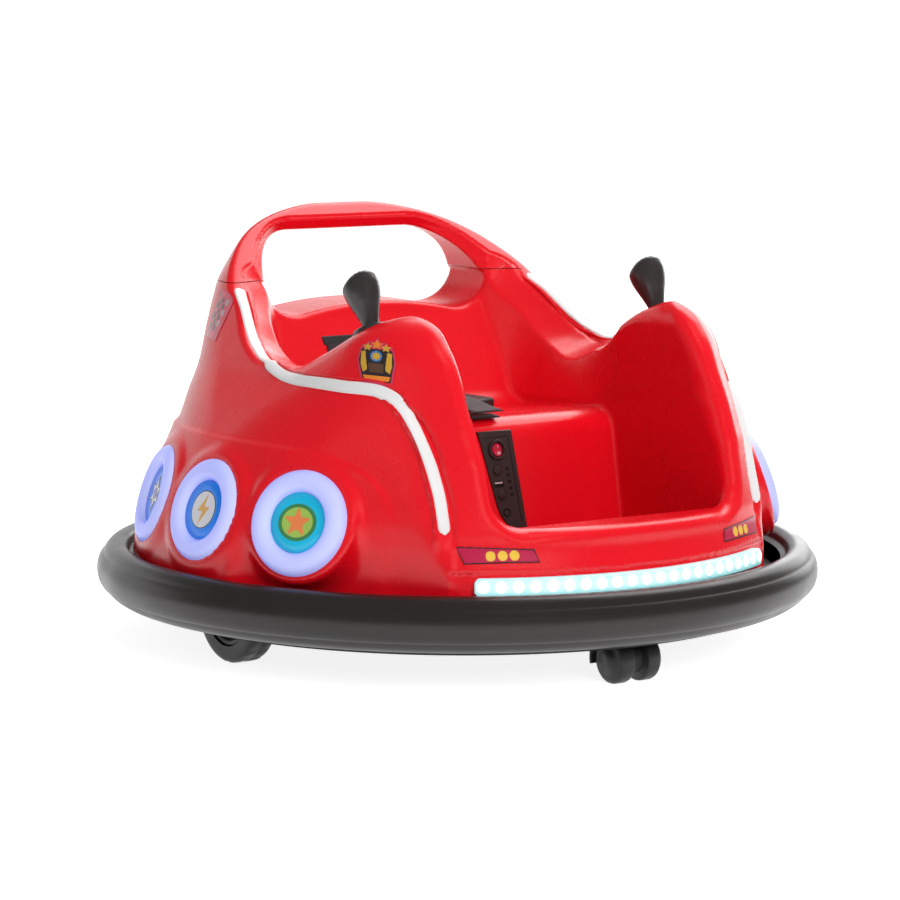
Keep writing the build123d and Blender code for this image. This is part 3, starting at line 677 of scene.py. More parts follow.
for side_name, side in SIDES:
    for lamp_name, angle in LAMP_ANGLES:
        centre, normal, across, up = lamp_frame(side, angle)
        tag = f"{side_name}_{lamp_name}"
        ring = turned(LAMP_PROFILE, centre, normal)
        light_ring = new_piece(f"light_ring_{tag}", *ring, lamp_glow, slot="lamp_lens")
        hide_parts(f"lamp_ring_{tag}")
        ground, shapes = EMBLEMS[lamp_name]
        disc = turned(disc_profile, centre, normal)
        lamp_face = new_piece(f"lamp_face_{tag}", *disc, disc_inks[ground], slot="lamp_print")
        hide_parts(f"lamp_disc_{tag}")
        for k, (ink, outline) in enumerate(shapes):
            lift = -DISC_SUNK + EMBLEM_STEP * (k + 1)
            shape = flat_shape(outline, centre, across, up, normal, lift, 0.0004)
            new_piece(f"emblem_{tag}_{k + 1}", *shape, disc_inks[ink], slot="lamp_print", smooth=False)

# Stickers
# Printed vinyl film stuck on the shell: a chequered flag on each rear post, a shield with stars
# on each front hump, and dark red turn-signal marks with yellow dots over the light bar.


def sticker(name, centre, across, up, size, layers, side, cell=0.0006, lift=0.0006):
    """A film laid on the shell, with one material for each shape of its print."""
    columns, rows = (int(s / cell) for s in size)
    u = np.linspace(-size[0] / 2, size[0] / 2, columns + 1)
    v = np.linspace(-size[1] / 2, size[1] / 2, rows + 1)
    grid_u, grid_v = np.meshgrid(u, v, indexing="ij")
    across = np.array(across) / np.linalg.norm(across)
    up = np.array(up) / np.linalg.norm(up)
    flat = np.array(centre) + grid_u.reshape(-1, 1) * across + grid_v.reshape(-1, 1) * up
    flat = settle(shell_form, flat, 10)
    flat = flat + surface_normal(shell_form, flat) * lift
    mid_u = (grid_u[:-1, :-1] + grid_u[1:, 1:]) / 2
    mid_v = (grid_v[:-1, :-1] + grid_v[1:, 1:]) / 2
    ink = np.full(mid_u.shape, -1)
    for k, (finish, outline) in enumerate(layers):
        ink = np.where(polygon_distance(mid_u, mid_v, outline) < 0, k, ink)
    index = np.arange(flat.shape[0]).reshape(grid_u.shape)
    quads = np.stack([index[:-1, :-1], index[1:, :-1], index[1:, 1:], index[:-1, 1:]], axis=-1)
    chosen = ink.reshape(-1) >= 0
    faces = quads.reshape(-1, 4)[chosen].tolist()
    points, faces = mirrored(flat, faces, side)
    sheet = new_piece(name, points, faces, None)
    for finish, outline in layers:
        sheet.data.materials.append(finish)
    sheet.data.polygons.foreach_set("material_index", ink.reshape(-1)[chosen].tolist())
    work = bmesh.new()
    work.from_mesh(sheet.data)
    bmesh.ops.delete(work, geom=[p for p in work.verts if not p.link_faces], context="VERTS")
    bmesh.ops.recalc_face_normals(work, faces=work.faces[:])
    work.to_mesh(sheet.data)
    work.free()


def film_finish(name, colour):
    """Printed vinyl film with a clear top coat."""
    finish, shader, tree = new_finish(name, colour, 0.32, 0.4)
    two_tone(tree, shader, mottle(tree, 60.0), colour, tuple(c * 0.9 for c in colour))
    return finish


FILM_INKS = (
    ("crimson", (0.50, 0.006, 0.060)), ("black", (0.020, 0.014, 0.016)), ("yellow", (0.82, 0.52, 0.05)),
    ("grey", (0.34, 0.33, 0.34)), ("pink", (0.62, 0.030, 0.085)), ("orange", (0.78, 0.22, 0.02)),
    ("gold", (0.60, 0.34, 0.03)), ("blue", (0.03, 0.16, 0.42)), ("brown", (0.10, 0.045, 0.022)),
)
film = {ink: film_finish(f"film_{ink}", colour) for ink, colour in FILM_INKS}


def inset(outline, amount):
    """A convex outline drawn in towards its middle."""
    mid_u = sum(u for u, v in outline) / len(outline)
    mid_v = sum(v for u, v in outline) / len(outline)
    return [
        (u - amount * (1 if u > mid_u else -1), v - amount * (1 if v > mid_v else -1)) for u, v in outline
    ]


SIGNAL = [(-0.0430, 0.0088), (0.0330, 0.0034), (0.0375, -0.0084), (-0.0360, -0.0086)]
SHIELD = [(-0.014, 0.012), (0.014, 0.012), (0.016, 0.000), (0.013, -0.016), (0.012, -0.021),
          (-0.012, -0.021), (-0.013, -0.016), (-0.016, 0.000)]
WING = [(-0.014, 0.009), (-0.010, 0.009), (-0.008, -0.009), (-0.012, -0.012), (-0.014, -0.004)]
BANNER = [(-0.0125, -0.0145), (0.0125, -0.0145), (0.0105, -0.0195), (-0.0105, -0.0195)]


def moved(outline, u, v, scale=1.0):
    """An outline in another place or size."""
    return [(a * scale + u, b * scale + v) for a, b in outline]


badge_layers = [(ink, [(u * 1.25, v) for u, v in outline]) for ink, outline in (
    (film["pink"], moved(SHIELD, 0, 0, 1.12)),
    (film["pink"], moved(star(5, 0.0085, 0.0042), 0, 0.0165)),
    (film["pink"], moved(star(5, 0.0070, 0.0035), -0.0085, 0.0135)),
    (film["pink"], moved(star(5, 0.0070, 0.0035), 0.0085, 0.0135)),
    (film["black"], SHIELD),
    (film["gold"], WING),
    (film["gold"], [(-u, v) for u, v in WING]),
    (film["orange"], moved(star(5, 0.0062, 0.0027), 0, 0.0165)),
    (film["gold"], moved(star(5, 0.0050, 0.0022), -0.0085, 0.0135)),
    (film["gold"], moved(star(5, 0.0050, 0.0022), 0.0085, 0.0135)),
    (film["blue"], circle(0.0056, 24, 0, 0.0045)),
    (film["gold"], moved(star(8, 0.0048, 0.0028), 0, 0.0045)),
    (film["brown"], [(-0.007, -0.003), (0.007, -0.003), (0.006, -0.012), (-0.006, -0.012)]),
    (film["orange"], BANNER),
)]
FLAG_ROWS = 6
FLAG_COLUMNS = 4
SQUARE_WIDE = 0.0052
SQUARE_TALL = 0.0060
SQUARE_LEAN = 0.0006
flag_layers = [(film["pink"], [(-0.019, 0.026), (0.017, 0.026), (0.021, -0.026), (-0.014, -0.026)])]
for row in range(FLAG_ROWS):
    for column in range(row % 2, FLAG_COLUMNS, 2):
        u = -0.0105 + column * SQUARE_WIDE + SQUARE_LEAN * row
        v = 0.019 - row * SQUARE_TALL
        square = [
            (u, v), (u + SQUARE_WIDE, v), (u + SQUARE_WIDE + SQUARE_LEAN, v - SQUARE_TALL),
            (u + SQUARE_LEAN, v - SQUARE_TALL),
        ]
        flag_layers.append((film["black"] if column else film["grey"], square))
flag_layers.append((film["black"], [(0.0115, 0.024), (0.0135, 0.024), (0.0180, -0.022), (0.0160, -0.022)]))
signal_layers = [(film["black"], SIGNAL), (film["crimson"], inset(SIGNAL, 0.0011))]
signal_layers += [(film["yellow"], circle(0.0048, 24, u, -0.0015)) for u in (-0.0105, 0.0010, 0.0125)]
# Name, middle, direction across, direction up, width and height, and print
STICKERS = (
    ("turn_signal", (0.1450, -0.2850, 0.1362), (-0.860, -0.490, 0.03), (0.03, 0.06, 1),
     (0.090, 0.022), signal_layers),
    ("shield_film", (0.2030, -0.1590, 0.3100), (-0.35, -0.94, 0.0), (-0.216, 0.334, 0.917),
     (0.052, 0.056), badge_layers),
    ("flag_film", (0.2040, 0.1350, 0.3300), (-0.20, 0.97, 0.10), (-0.45, 0.10, 0.88),
     (0.044, 0.054), flag_layers),
)
for side_name, side in SIDES:
    for name, *place_and_print in STICKERS:
        sticker(f"{name}_{side_name}", *place_and_print, side)

# Light bar
# A curved milky lens over a strip of small bright lights; it is clipped into the recess of the
# skirt under the footwell.
BAR_R = 0.3285
BAR_HALF_ANGLE = radians(31.6)
BAR_HEIGHT = 0.1055
BAR_TALL = 0.0170
BAR_END_R = 0.006
BAR_ROWS = 121
BAR_LIGHTS = 22


def on_arc(radius, angle, height):
    """A point at an angle from straight ahead."""
    return (radius * sin(angle), -radius * cos(angle), height)


# How far out of the bar's face, and which share of its height
half_lens = [(-0.007, -0.5), (-0.0005, -0.5), (0.0012, -0.46), (0.0020, -0.36), (0.0024, -0.18)]
lens_profile = half_lens + [(0.0025, 0.0)] + [(out, -tall) for out, tall in half_lens[::-1]]
bar_points = []
for k in range(BAR_ROWS):
    along = -1 + 2 * k / (BAR_ROWS - 1)
    past_straight = max(0.0, abs(along) * BAR_R * BAR_HALF_ANGLE - (BAR_R * BAR_HALF_ANGLE - BAR_END_R))
    shrink = sqrt(max(0.0, 1 - (past_straight / BAR_END_R) ** 2)) * 0.45 + 0.55
    for out, tall in lens_profile:
        radius = BAR_R + out * shrink - 0.10 * tall * BAR_TALL
        bar_points.append(on_arc(radius, along * BAR_HALF_ANGLE, BAR_HEIGHT + tall * BAR_TALL * shrink))
n = len(lens_profile)
bar_faces = [
    [k * n + j, (k + 1) * n + j, (k + 1) * n + j + 1, k * n + j + 1]
    for k in range(BAR_ROWS - 1) for j in range(n - 1)
]
bar_faces += [list(range(n)), list(range((BAR_ROWS - 1) * n, BAR_ROWS * n))[::-1]]

# The lens is whiter along its middle and bluer at its edges
bar_finish, bar_shader, bar_tree = new_finish(
    "bar_lens", (0.55, 0.86, 0.88), 0.25, 0.4, glow=(0.50, 0.93, 0.97), strength=0.45
)
two_tone(bar_tree, bar_shader, mottle(bar_tree, 90.0), (0.62, 0.90, 0.92), (0.42, 0.80, 0.84))
bar_place = add_node(bar_tree, "ShaderNodeTexCoord")
bar_split = add_node(bar_tree, "ShaderNodeSeparateXYZ")
bar_middle = add_node(bar_tree, "ShaderNodeMath", {1: BAR_HEIGHT}, operation="SUBTRACT")
bar_away = add_node(bar_tree, "ShaderNodeMath", operation="ABSOLUTE")
bar_span = add_node(bar_tree, "ShaderNodeMapRange", {"From Min": 0.0030, "From Max": 0.0080})
bar_tree.links.new(bar_place.outputs["Object"], bar_split.inputs[0])
bar_tree.links.new(bar_split.outputs["Z"], bar_middle.inputs[0])
bar_tree.links.new(bar_middle.outputs[0], bar_away.inputs[0])
bar_tree.links.new(bar_away.outputs[0], bar_span.inputs["Value"])
two_tone(
    bar_tree, bar_shader, bar_span.outputs["Result"], (0.62, 0.97, 1.0), (0.16, 0.78, 0.82), "Emission Color"
)
light_bar = new_piece("light_bar_lens", bar_points, bar_faces, bar_finish, slot="bar_lens")
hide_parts("light_bar")

bead_finish, bead_shader, bead_tree = new_finish(
    "bar_beads", (0.9, 0.97, 1.0), 0.2, 0.3, glow=(0.93, 1.0, 1.0), strength=0.9
)
two_tone(bead_tree, bead_shader, mottle(bead_tree, 200.0), (0.92, 0.98, 1.0), (0.85, 0.95, 1.0))
BEAD_PROFILE = ((0.0001, 0.0018), (0.0030, 0.0014), (0.0054, 0.0004), (0.0068, -0.0012))
bead_points, bead_faces = [], []
for k in range(BAR_LIGHTS):
    angle = BAR_HALF_ANGLE * 0.955 * (-1 + 2 * k / (BAR_LIGHTS - 1))
    centre = on_arc(BAR_R + 0.0022, angle, BAR_HEIGHT)
    points, faces = turned(BEAD_PROFILE, centre, (sin(angle), -cos(angle), -0.05), steps=20)
    bead_faces += [[i + len(bead_points) for i in face] for face in faces]
    bead_points += points.tolist()
new_piece("light_bar_beads", bead_points, bead_faces, bead_finish, slot="bar_lens")

# Bumper ring
# A thick band of dark rubber with three rounded lobes, pushed over the edge of the chassis and
# held from below by a clamp.
RING_CENTRE_LINE = (
    (0.3310, 0.0530), (0.3350, 0.0485), (0.3420, 0.0468), (0.3500, 0.0480), (0.3565, 0.0515),
    (0.3605, 0.0555), (0.3622, 0.0580), (0.3650, 0.0600), (0.3682, 0.0650), (0.3698, 0.0720),
    (0.3697, 0.0790), (0.3680, 0.0850), (0.3652, 0.0895), (0.3630, 0.0912), (0.3625, 0.0930),
    (0.3600, 0.0968), (0.3560, 0.0998), (0.3500, 0.1014), (0.3440, 0.1010), (0.3400, 0.0985),
    (0.3385, 0.0950), (0.3372, 0.0900), (0.3315, 0.0880),
)
ring_outline = [tuple(p[:2]) for p in fair_line([(r, h, 0) for r, h in RING_CENTRE_LINE], 0.0016)]
rubber = plastic("black_rubber", (0.018, 0.014, 0.013), 0.34, 0.0, 0.10, 900.0, shade=0.85)
points, faces = turned(ring_outline, (0, 0, 0), (0, 0, 1), steps=288)
ring = new_piece("bumper_ring_rubber", points, faces, rubber, slot="black_rubber")
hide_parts("bumper_ring")

# Chassis pan
# A black plastic plate under the shell, with a round belly, the clamp for the ring, a hatch
# over the battery and a moulded well over each drive wheel.
black_plastic = plastic("black_plastic", (0.022, 0.022, 0.023), 0.55, 0.0, 0.3, 600.0, shade=0.8)


def dress(node, finish):
    """Gives a carried-over part its finish."""
    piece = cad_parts[node]
    piece.data.materials.clear()
    piece.data.materials.append(finish)


for node in ("base_pan", "ring_clamp", "battery_hatch", "gearbox_left", "gearbox_right",
             "caster_socket_front", "caster_socket_rear", "battery"):
    dress(node, black_plastic)
WELL_INNER_X = 0.2425
WELL_OUTER_X = 0.2855
WELL_FOOT = 0.060
WELL_TALL = 0.0645
WELL_HALF = 0.0668
WELL_STEPS = 24
arch_turns = [pi * k / WELL_STEPS for k in range(WELL_STEPS + 1)]
well_arch = [(-WELL_HALF * cos(turn), WELL_FOOT + WELL_TALL * sin(turn) ** 0.8) for turn in arch_turns]
well_points = [(x, y, z) for x in (WELL_INNER_X, WELL_OUTER_X) for y, z in well_arch]
n = len(well_arch)
well_faces = [[k, k + 1, n + k + 1, n + k] for k in range(n - 1)]
well_faces += [list(range(n)), list(range(n, 2 * n))[::-1]]
for side_name, side in SIDES:
    new_piece(
        f"wheel_well_{side_name}", *mirrored(np.array(well_points), well_faces, side), black_plastic,
        slot="black_plastic",
    )

# Drive wheels
# Hard black plastic wheels with a ribbed tread on a dished disc, each on the axle of its own
# gearbox.
WHEEL_X = 0.264
WHEEL_R = 0.059
TREAD_RIBS = 24
TREAD_DEPTH = 0.0012
HUB_RIBS = 6
wheel_plastic = plastic("wheel_plastic", (0.020, 0.020, 0.021), 0.42, 0.0, 0.2, 500.0, shade=0.75)
half_tyre = (
    (0.0423, -0.0138), (0.0500, -0.0140), (0.0545, -0.0138), (0.0575, -0.0125), (0.0588, -0.0105),
    (0.0590, -0.0080), (0.0590, -0.0030), (0.0580, -0.0022),
)
tyre_outline = half_tyre + tuple((r, -h) for r, h in half_tyre[::-1])
hub_outline = (
    (0.0052, -0.0138), (0.0200, -0.0138), (0.0400, -0.0138), (0.0421, -0.0130), (0.0421, 0.0110),
    (0.0410, 0.0120), (0.0385, 0.0120), (0.0360, 0.0108), (0.0335, 0.0064), (0.0310, 0.0058),
    (0.0170, 0.0058), (0.0150, 0.0070), (0.0142, 0.0132), (0.0130, 0.0140), (0.0052, 0.0140),
)
for side_name, side in SIDES:
    centre = Vector((side * WHEEL_X, 0, WHEEL_R))
    normal = Vector((side, 0, 0))
    body = f"drive_wheel_{side_name}"
    points, faces = turned(tyre_outline, centre, normal)
    around = np.arctan2(points[:, 2] - WHEEL_R, points[:, 1])
    tread = np.hypot(points[:, 1], points[:, 2] - WHEEL_R) > WHEEL_R - 0.0005
    groove = (np.cos(around * TREAD_RIBS) > 0.55) & tread
    inward = np.stack([np.zeros(len(points)), -np.cos(around), -np.sin(around)], axis=1)
    points = points + inward * (groove * TREAD_DEPTH)[:, None]
    tyre = new_piece(f"tyre_{side_name}", points, faces, wheel_plastic, body, "wheel_plastic")
    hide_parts(f"drive_tyre_{side_name}")
    points, faces = turned(hub_outline, centre, normal, steps=72)
    hub = new_piece(f"hub_{side_name}", points, faces, wheel_plastic, body, "wheel_plastic")
    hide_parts(f"drive_hub_{side_name}")
    points, faces = [], []
    for k in range(HUB_RIBS):
        ray = Vector((0, cos(tau * k / HUB_RIBS), sin(tau * k / HUB_RIBS)))
        cross = normal.cross(ray)
        base = len(points)
        for out, height in ((0.0135, 0.0056), (0.0135, 0.0120), (0.0345, 0.0085), (0.0345, 0.0056)):
            for half in (-0.0014, 0.0014):
                points.append(tuple(centre + ray * out + normal * height + cross * half))
        faces += [[base + i for i in face] for face in
                  ([0, 2, 4, 6], [7, 5, 3, 1], [0, 1, 3, 2], [2, 3, 5, 4], [4, 5, 7, 6])]
    new_piece(f"hub_ribs_{side_name}", points, faces, wheel_plastic, body, "wheel_plastic", smooth=False)

# Casters
# Twin-wheel furniture casters at the front and the rear: two black plastic wheels under a
# hood that swivels in a socket of the pan.
CASTER_Y = 0.272
CASTER_TRAIL = 0.020
CASTER_R = 0.023
caster_outline = (
    (0.0001, 0.0255), (0.0100, 0.0255), (0.0105, 0.0248), (0.0175, 0.0246), (0.0205, 0.0238),
    (0.0222, 0.0222), (0.0230, 0.0200), (0.0230, 0.0105), (0.0226, 0.0088), (0.0215, 0.0080),
    (0.0041, 0.0080),
)
spool = caster_outline + tuple((r, -h) for r, h in caster_outline[::-1])
for end_name, end in (("front", -1), ("rear", 1)):
    axle = Vector((0, end * CASTER_Y - CASTER_TRAIL, CASTER_R))
    pair = turned(spool, axle, (1, 0, 0), steps=64)
    body = f"caster_wheel_{end_name}"
    wheels = new_piece(f"caster_wheels_pair_{end_name}", *pair, wheel_plastic, body, "wheel_plastic")
    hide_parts(f"caster_wheels_{end_name}")
    dress(f"caster_hood_{end_name}", black_plastic)

# Control panel
# A dark plastic plate screwed to the seat's front, with a round rocker switch, two push
# buttons, a slot, a row of indicator holes and the charging inlet. The slot and the holes are
# near-black raised strips: painted shade where their openings are.
SEAT_EDGE = Vector((0, -0.076, 0.234))
FACE_UP = Vector((0, 0.027, 0.152)).normalized()
FACE_OUT = Vector((1, 0, 0)).cross(FACE_UP).normalized()
FACE_ACROSS = Vector((1, 0, 0))


def on_panel(u, v, out=0.0):
    """A point on the seat's front, from the middle of its upper edge."""
    return SEAT_EDGE + FACE_ACROSS * u + FACE_UP * v + FACE_OUT * out


PANEL_OUTLINE = [
    (-0.0300, -0.0130), (0.0085, -0.0130), (0.0100, -0.0140), (0.0186, -0.1130), (0.0170, -0.1150),
    (0.0090, -0.1155), (0.0020, -0.1135), (-0.0050, -0.1085), (-0.0110, -0.1000), (-0.0150, -0.0900),
    (-0.0310, -0.0145),
]
panel_plastic = plastic("panel_plastic", (0.036, 0.022, 0.022), 0.42, 0.0, 0.15, 600.0, shade=0.85)
# Near-black: the charging inlet's own plastic, and painted shade on the strips of the indicator holes and
# the slot
near_black_and_hole_shade = plastic("near_black_and_hole_shade", (0.006, 0.005, 0.005), 0.6, 0.0, 0.1, 400.0)
n = len(PANEL_OUTLINE)
panel_middle = Vector((sum(u for u, v in PANEL_OUTLINE) / n, sum(v for u, v in PANEL_OUTLINE) / n))
points, faces = [], []
for shrink, height in ((0.0, -0.002), (0.0, 0.0012), (0.0007, 0.0020)):
    for corner in PANEL_OUTLINE:
        place = Vector(corner) - (Vector(corner) - panel_middle).normalized() * shrink
        points.append(tuple(on_panel(place.x, place.y, height)))
for level in (0, n):
    faces += [[level + k, level + n + k, level + n + (k + 1) % n, level + (k + 1) % n] for k in range(n)]
faces.append([2 * n + k for k in range(n)][::-1])
panel = new_piece("control_plate", points, faces, panel_plastic, slot="panel_plastic", smooth=False)
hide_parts("control_panel")


def strip_on_panel(name, line, width, low, high, finish):
    """A narrow straight-sided strip along a line on the panel."""
    points, faces = [], []
    for start, end in zip(line[:-1], line[1:]):
        way = (Vector(end) - Vector(start)).normalized()
        off = Vector((-way.y, way.x)) * width / 2
        corners = (Vector(start) - off, Vector(start) + off, Vector(end) + off, Vector(end) - off)
        base = len(points)
        points += [tuple(on_panel(*corner, height)) for height in (low, high) for corner in corners]
        faces += [[base + i for i in face] for face in
                  ([4, 5, 6, 7], [0, 1, 5, 4], [1, 2, 6, 5], [2, 3, 7, 6], [3, 0, 4, 7])]
    new_piece(name, points, faces, finish, slot="panel_plastic", smooth=False)


frame_line = [(-0.0250, -0.0200), (0.0045, -0.0195), (0.0125, -0.1060)]
strip_on_panel("panel_frame_line", frame_line, 0.0009, 0.0016, 0.0022, near_black_and_hole_shade)
# Each indicator hole is a near-black raised strip: painted shade in place of the opening
for k in range(5):
    u = 0.0004 + 0.0008 * k
    v = -0.0520 - 0.0066 * k
    hole_line = [(u - 0.0018, v), (u + 0.0018, v)]
    strip_on_panel(f"indicator_hole_shade_{k + 1}", hole_line, 0.0028, 0.0016, 0.0023, near_black_and_hole_shade)
slot_metal, metal_shader, metal_tree = new_finish("slot_metal", (0.75, 0.62, 0.62), 0.3, metal=0.6)
metal_tree.links.new(mottle(metal_tree, 300.0, 0.22, 0.40), metal_shader.inputs["Roughness"])
# The slot's well is a near-black strip under the metal tongue: painted shade of the slot's inside
strip_on_panel("slot_well_shade", [(-0.0168, -0.0675), (-0.0054, -0.0675)], 0.0052, 0.0014, 0.0022, near_black_and_hole_shade)
strip_on_panel("slot_tongue", [(-0.0165, -0.0658), (-0.0070, -0.0658)], 0.0016, 0.0016, 0.0025, slot_metal)

# The rocker switch: a bezel, a key dished towards its middle, and two white marks
ROCKER = Vector((-0.0100, -0.0325))
ROCKER_R = 0.0068
ROCKER_RINGS = 10
ROCKER_STEPS = 48
rocker_red = plastic("rocker_red", (0.48, 0.004, 0.035), 0.22, 0.5, 0.02, 300.0)
BEZEL_PROFILE = (
    (0.0104, 0.0010), (0.0104, 0.0042), (0.0098, 0.0050), (0.0088, 0.0052), (0.0076, 0.0046),
    (0.0070, 0.0030), (0.0070, 0.0010),
)
bezel = turned(BEZEL_PROFILE, on_panel(*ROCKER), FACE_OUT, steps=64)
new_piece("switch_bezel", *bezel, panel_plastic, slot="panel_plastic")
points, faces = [], []
for j in range(ROCKER_RINGS + 1):
    share = j / ROCKER_RINGS
    for k in range(ROCKER_STEPS):
        u = ROCKER_R * share * cos(tau * k / ROCKER_STEPS)
        v = ROCKER_R * share * sin(tau * k / ROCKER_STEPS)
        height = 0.0034 + 0.0016 * abs(v) / ROCKER_R - 0.16 * v - 0.0012 * share**8
        points.append(tuple(on_panel(ROCKER.x + u * 0.86, ROCKER.y + v, height)))
for j in range(ROCKER_RINGS):
    for k in range(ROCKER_STEPS):
        a, b = j * ROCKER_STEPS + k, j * ROCKER_STEPS + (k + 1) % ROCKER_STEPS
        faces.append([a, a + ROCKER_STEPS, b + ROCKER_STEPS, b])
rocker = new_piece("rocker_key", points, faces, rocker_red, slot="red_switch")
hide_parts("power_switch")
mark_white = plastic("mark_white", (0.70, 0.60, 0.62), 0.4, 0.0, 0.02, 300.0)
mark_line = [(ROCKER.x, ROCKER.y + 0.0024), (ROCKER.x, ROCKER.y + 0.0046)]
strip_on_panel("switch_mark_line", mark_line, 0.0007, 0.0030, 0.0044, mark_white)
MARK_PROFILE = ((0.0010, 0.0040), (0.0010, 0.0056), (0.0016, 0.0056), (0.0016, 0.0040))
mark_ring = turned(MARK_PROFILE, on_panel(ROCKER.x, ROCKER.y - 0.0036), FACE_OUT, steps=24)
new_piece("switch_mark_ring", *mark_ring, mark_white, slot="red_switch")

BUTTON_PROFILE = (
    (0.0001, 0.0034), (0.0038, 0.0034), (0.0046, 0.0030), (0.0050, 0.0022), (0.0050, 0.0014),
    (0.0054, 0.0014), (0.0056, 0.0024), (0.0061, 0.0026), (0.0064, 0.0020), (0.0064, 0.0010),
)
for place_name, place in (("upper", (-0.0115, -0.0530)), ("lower", (-0.0085, -0.0780))):
    points, faces = turned(BUTTON_PROFILE, on_panel(*place), FACE_OUT, steps=48)
    button = new_piece(f"push_button_{place_name}", points, faces, panel_plastic, slot="panel_plastic")
    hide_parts(f"button_{place_name}")
INLET_PROFILE = (
    (0.0044, 0.0012), (0.0044, 0.0024), (0.0040, 0.0028), (0.0032, 0.0026), (0.0029, 0.0018),
    (0.0029, -0.0040), (0.0001, -0.0040),
)
points, faces = turned(INLET_PROFILE, on_panel(-0.0050, -0.0960), FACE_OUT, steps=40)
inlet = new_piece("charging_inlet", points, faces, near_black_and_hole_shade, slot="panel_plastic")
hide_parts("charging_socket")

# Drive levers
# Two hand levers with pear-shaped grips of dark plastic and a slanting flat top; each stands
# in a round cup on the slope behind its hump.
LEVER_FOOT = (0.1745, -0.1080, 0.3321)
SLOPE = np.arctan2(0.064, 0.125)
LEVER_UP = Vector((0, sin(SLOPE), cos(SLOPE)))
LEVER_BACK = Vector((1, 0, 0)).cross(LEVER_UP)
GRIP_LINE = (
    (-0.020, 0.0078), (0.000, 0.0078), (0.008, 0.0084), (0.020, 0.0115), (0.032, 0.0155),
    (0.041, 0.0176), (0.047, 0.0181), (0.054, 0.0172), (0.064, 0.0155),
)


def grip_form(x, y, z):
    """A lever in its own frame: the grip narrows to the neck and its top is cut at a slant."""
    r = smooth_curve(z, GRIP_LINE, 1)
    side = (np.hypot(x, y * 0.94) - r) / np.sqrt(1 + curve_slope(z, GRIP_LINE, 1) ** 2)
    top = (z - 0.0535) * 0.95 + y * 0.30
    cap = np.maximum(side + 0.0035, top - 0.0012)
    return np.minimum(np.maximum(keep(side, top, 0.0045), -0.018 - z), np.maximum(cap, 0.040 - z))


grip_points, grip_faces = moulded(grip_form, (-0.024, -0.024, -0.022), (0.024, 0.024, 0.070), 0.0011)
grip_plastic = plastic("grip_plastic", (0.030, 0.026, 0.026), 0.30, 0.1, 0.08, 500.0, shade=0.85)
CUP_PROFILE = (
    (0.0148, -0.006), (0.0150, 0.0022), (0.0156, 0.0032), (0.0170, 0.0036), (0.0190, 0.0028),
    (0.0206, 0.0014), (0.0210, -0.0060),
)


def placed(points, centre, across, up, out):
    """Points of a shape in its own frame, set in the car."""
    turn = Matrix((across, up, out)).transposed()
    return np.array([tuple(turn @ Vector(p) + Vector(centre)) for p in points])


for side_name, side in SIDES:
    foot = (side * LEVER_FOOT[0], *LEVER_FOOT[1:])
    points = placed(grip_points, foot, Vector((1, 0, 0)), LEVER_BACK * -1, LEVER_UP)
    body = f"lever_{side_name}"
    lever = new_piece(f"grip_{side_name}", points, grip_faces, grip_plastic, body, "lever_plastic")
    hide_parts(f"lever_{side_name}")
    points, faces = turned(CUP_PROFILE, foot, LEVER_UP, steps=64)
    cup = new_piece(f"lever_collar_{side_name}", points, faces, grip_plastic, slot="lever_plastic")
    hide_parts(f"lever_cup_{side_name}")

# Lap belt
# Black woven webbing: a strap comes out of a slot on each side of the seat's back; the left one
# lies forward over the seat, the right one ends at the buckle.
webbing, web_shader, web_tree = new_finish("webbing", (0.030, 0.022, 0.026), 0.8, sheen=0.2)
web_place = add_node(web_tree, "ShaderNodeTexCoord")
weave = add_node(web_tree, "ShaderNodeTexWave", {"Scale": 160.0, "Distortion": 1.5})
web_tree.links.new(web_place.outputs["Object"], weave.inputs["Vector"])
two_tone(web_tree, web_shader, weave.outputs["Fac"], (0.034, 0.026, 0.030), (0.018, 0.014, 0.017))
grain_bump(web_tree, web_shader, weave.outputs["Fac"], 0.4)


def strap(name, line, sides, width, thickness):
    """A flat strap along a line, with the direction across it given at each end."""
    path = fair_line(line, 0.003)
    share = np.linspace(0, 1, len(path))[:, None]
    across = np.array(sides[0]) * (1 - share) + np.array(sides[1]) * share
    across /= np.linalg.norm(across, axis=1, keepdims=True)
    along = np.gradient(path, axis=0)
    along /= np.linalg.norm(along, axis=1, keepdims=True)
    normal = np.cross(across, along)
    normal /= np.linalg.norm(normal, axis=1, keepdims=True)
    edge = [(-0.5, 0), (-0.46, 0.42), (-0.3, 0.5), (0, 0.5), (0.3, 0.5), (0.46, 0.42), (0.5, 0),
            (0.46, -0.42), (0.3, -0.5), (0, -0.5), (-0.3, -0.5), (-0.46, -0.42)]
    points = []
    for p, a, q in zip(path, across, normal):
        points += [tuple(p + a * width * u + q * thickness * v) for u, v in edge]
    n = len(edge)
    faces = [[k * n + j, k * n + (j + 1) % n, (k + 1) * n + (j + 1) % n, (k + 1) * n + j]
             for k in range(len(path) - 1) for j in range(n)]
    faces += [list(range(n))[::-1], list(range((len(path) - 1) * n, len(path) * n))]
    return new_piece(name, points, faces, webbing, slot="webbing")


LEFT_LINE = (
    (-0.060, 0.136, 0.300), (-0.060, 0.128, 0.290), (-0.060, 0.112, 0.262), (-0.058, 0.094, 0.240),
    (-0.052, 0.074, 0.236), (-0.036, 0.042, 0.2450), (-0.021, 0.012, 0.2490), (-0.014, -0.012, 0.2480),
    (-0.013, -0.036, 0.2455), (-0.013, -0.056, 0.2425), (-0.013, -0.0745, 0.2404),
)
RIGHT_LINE = (
    (0.045, 0.113, 0.258), (0.045, 0.108, 0.252), (0.045, 0.099, 0.240), (0.044, 0.088, 0.2315),
    (0.042, 0.076, 0.2290), (0.040, 0.062, 0.2290),
)
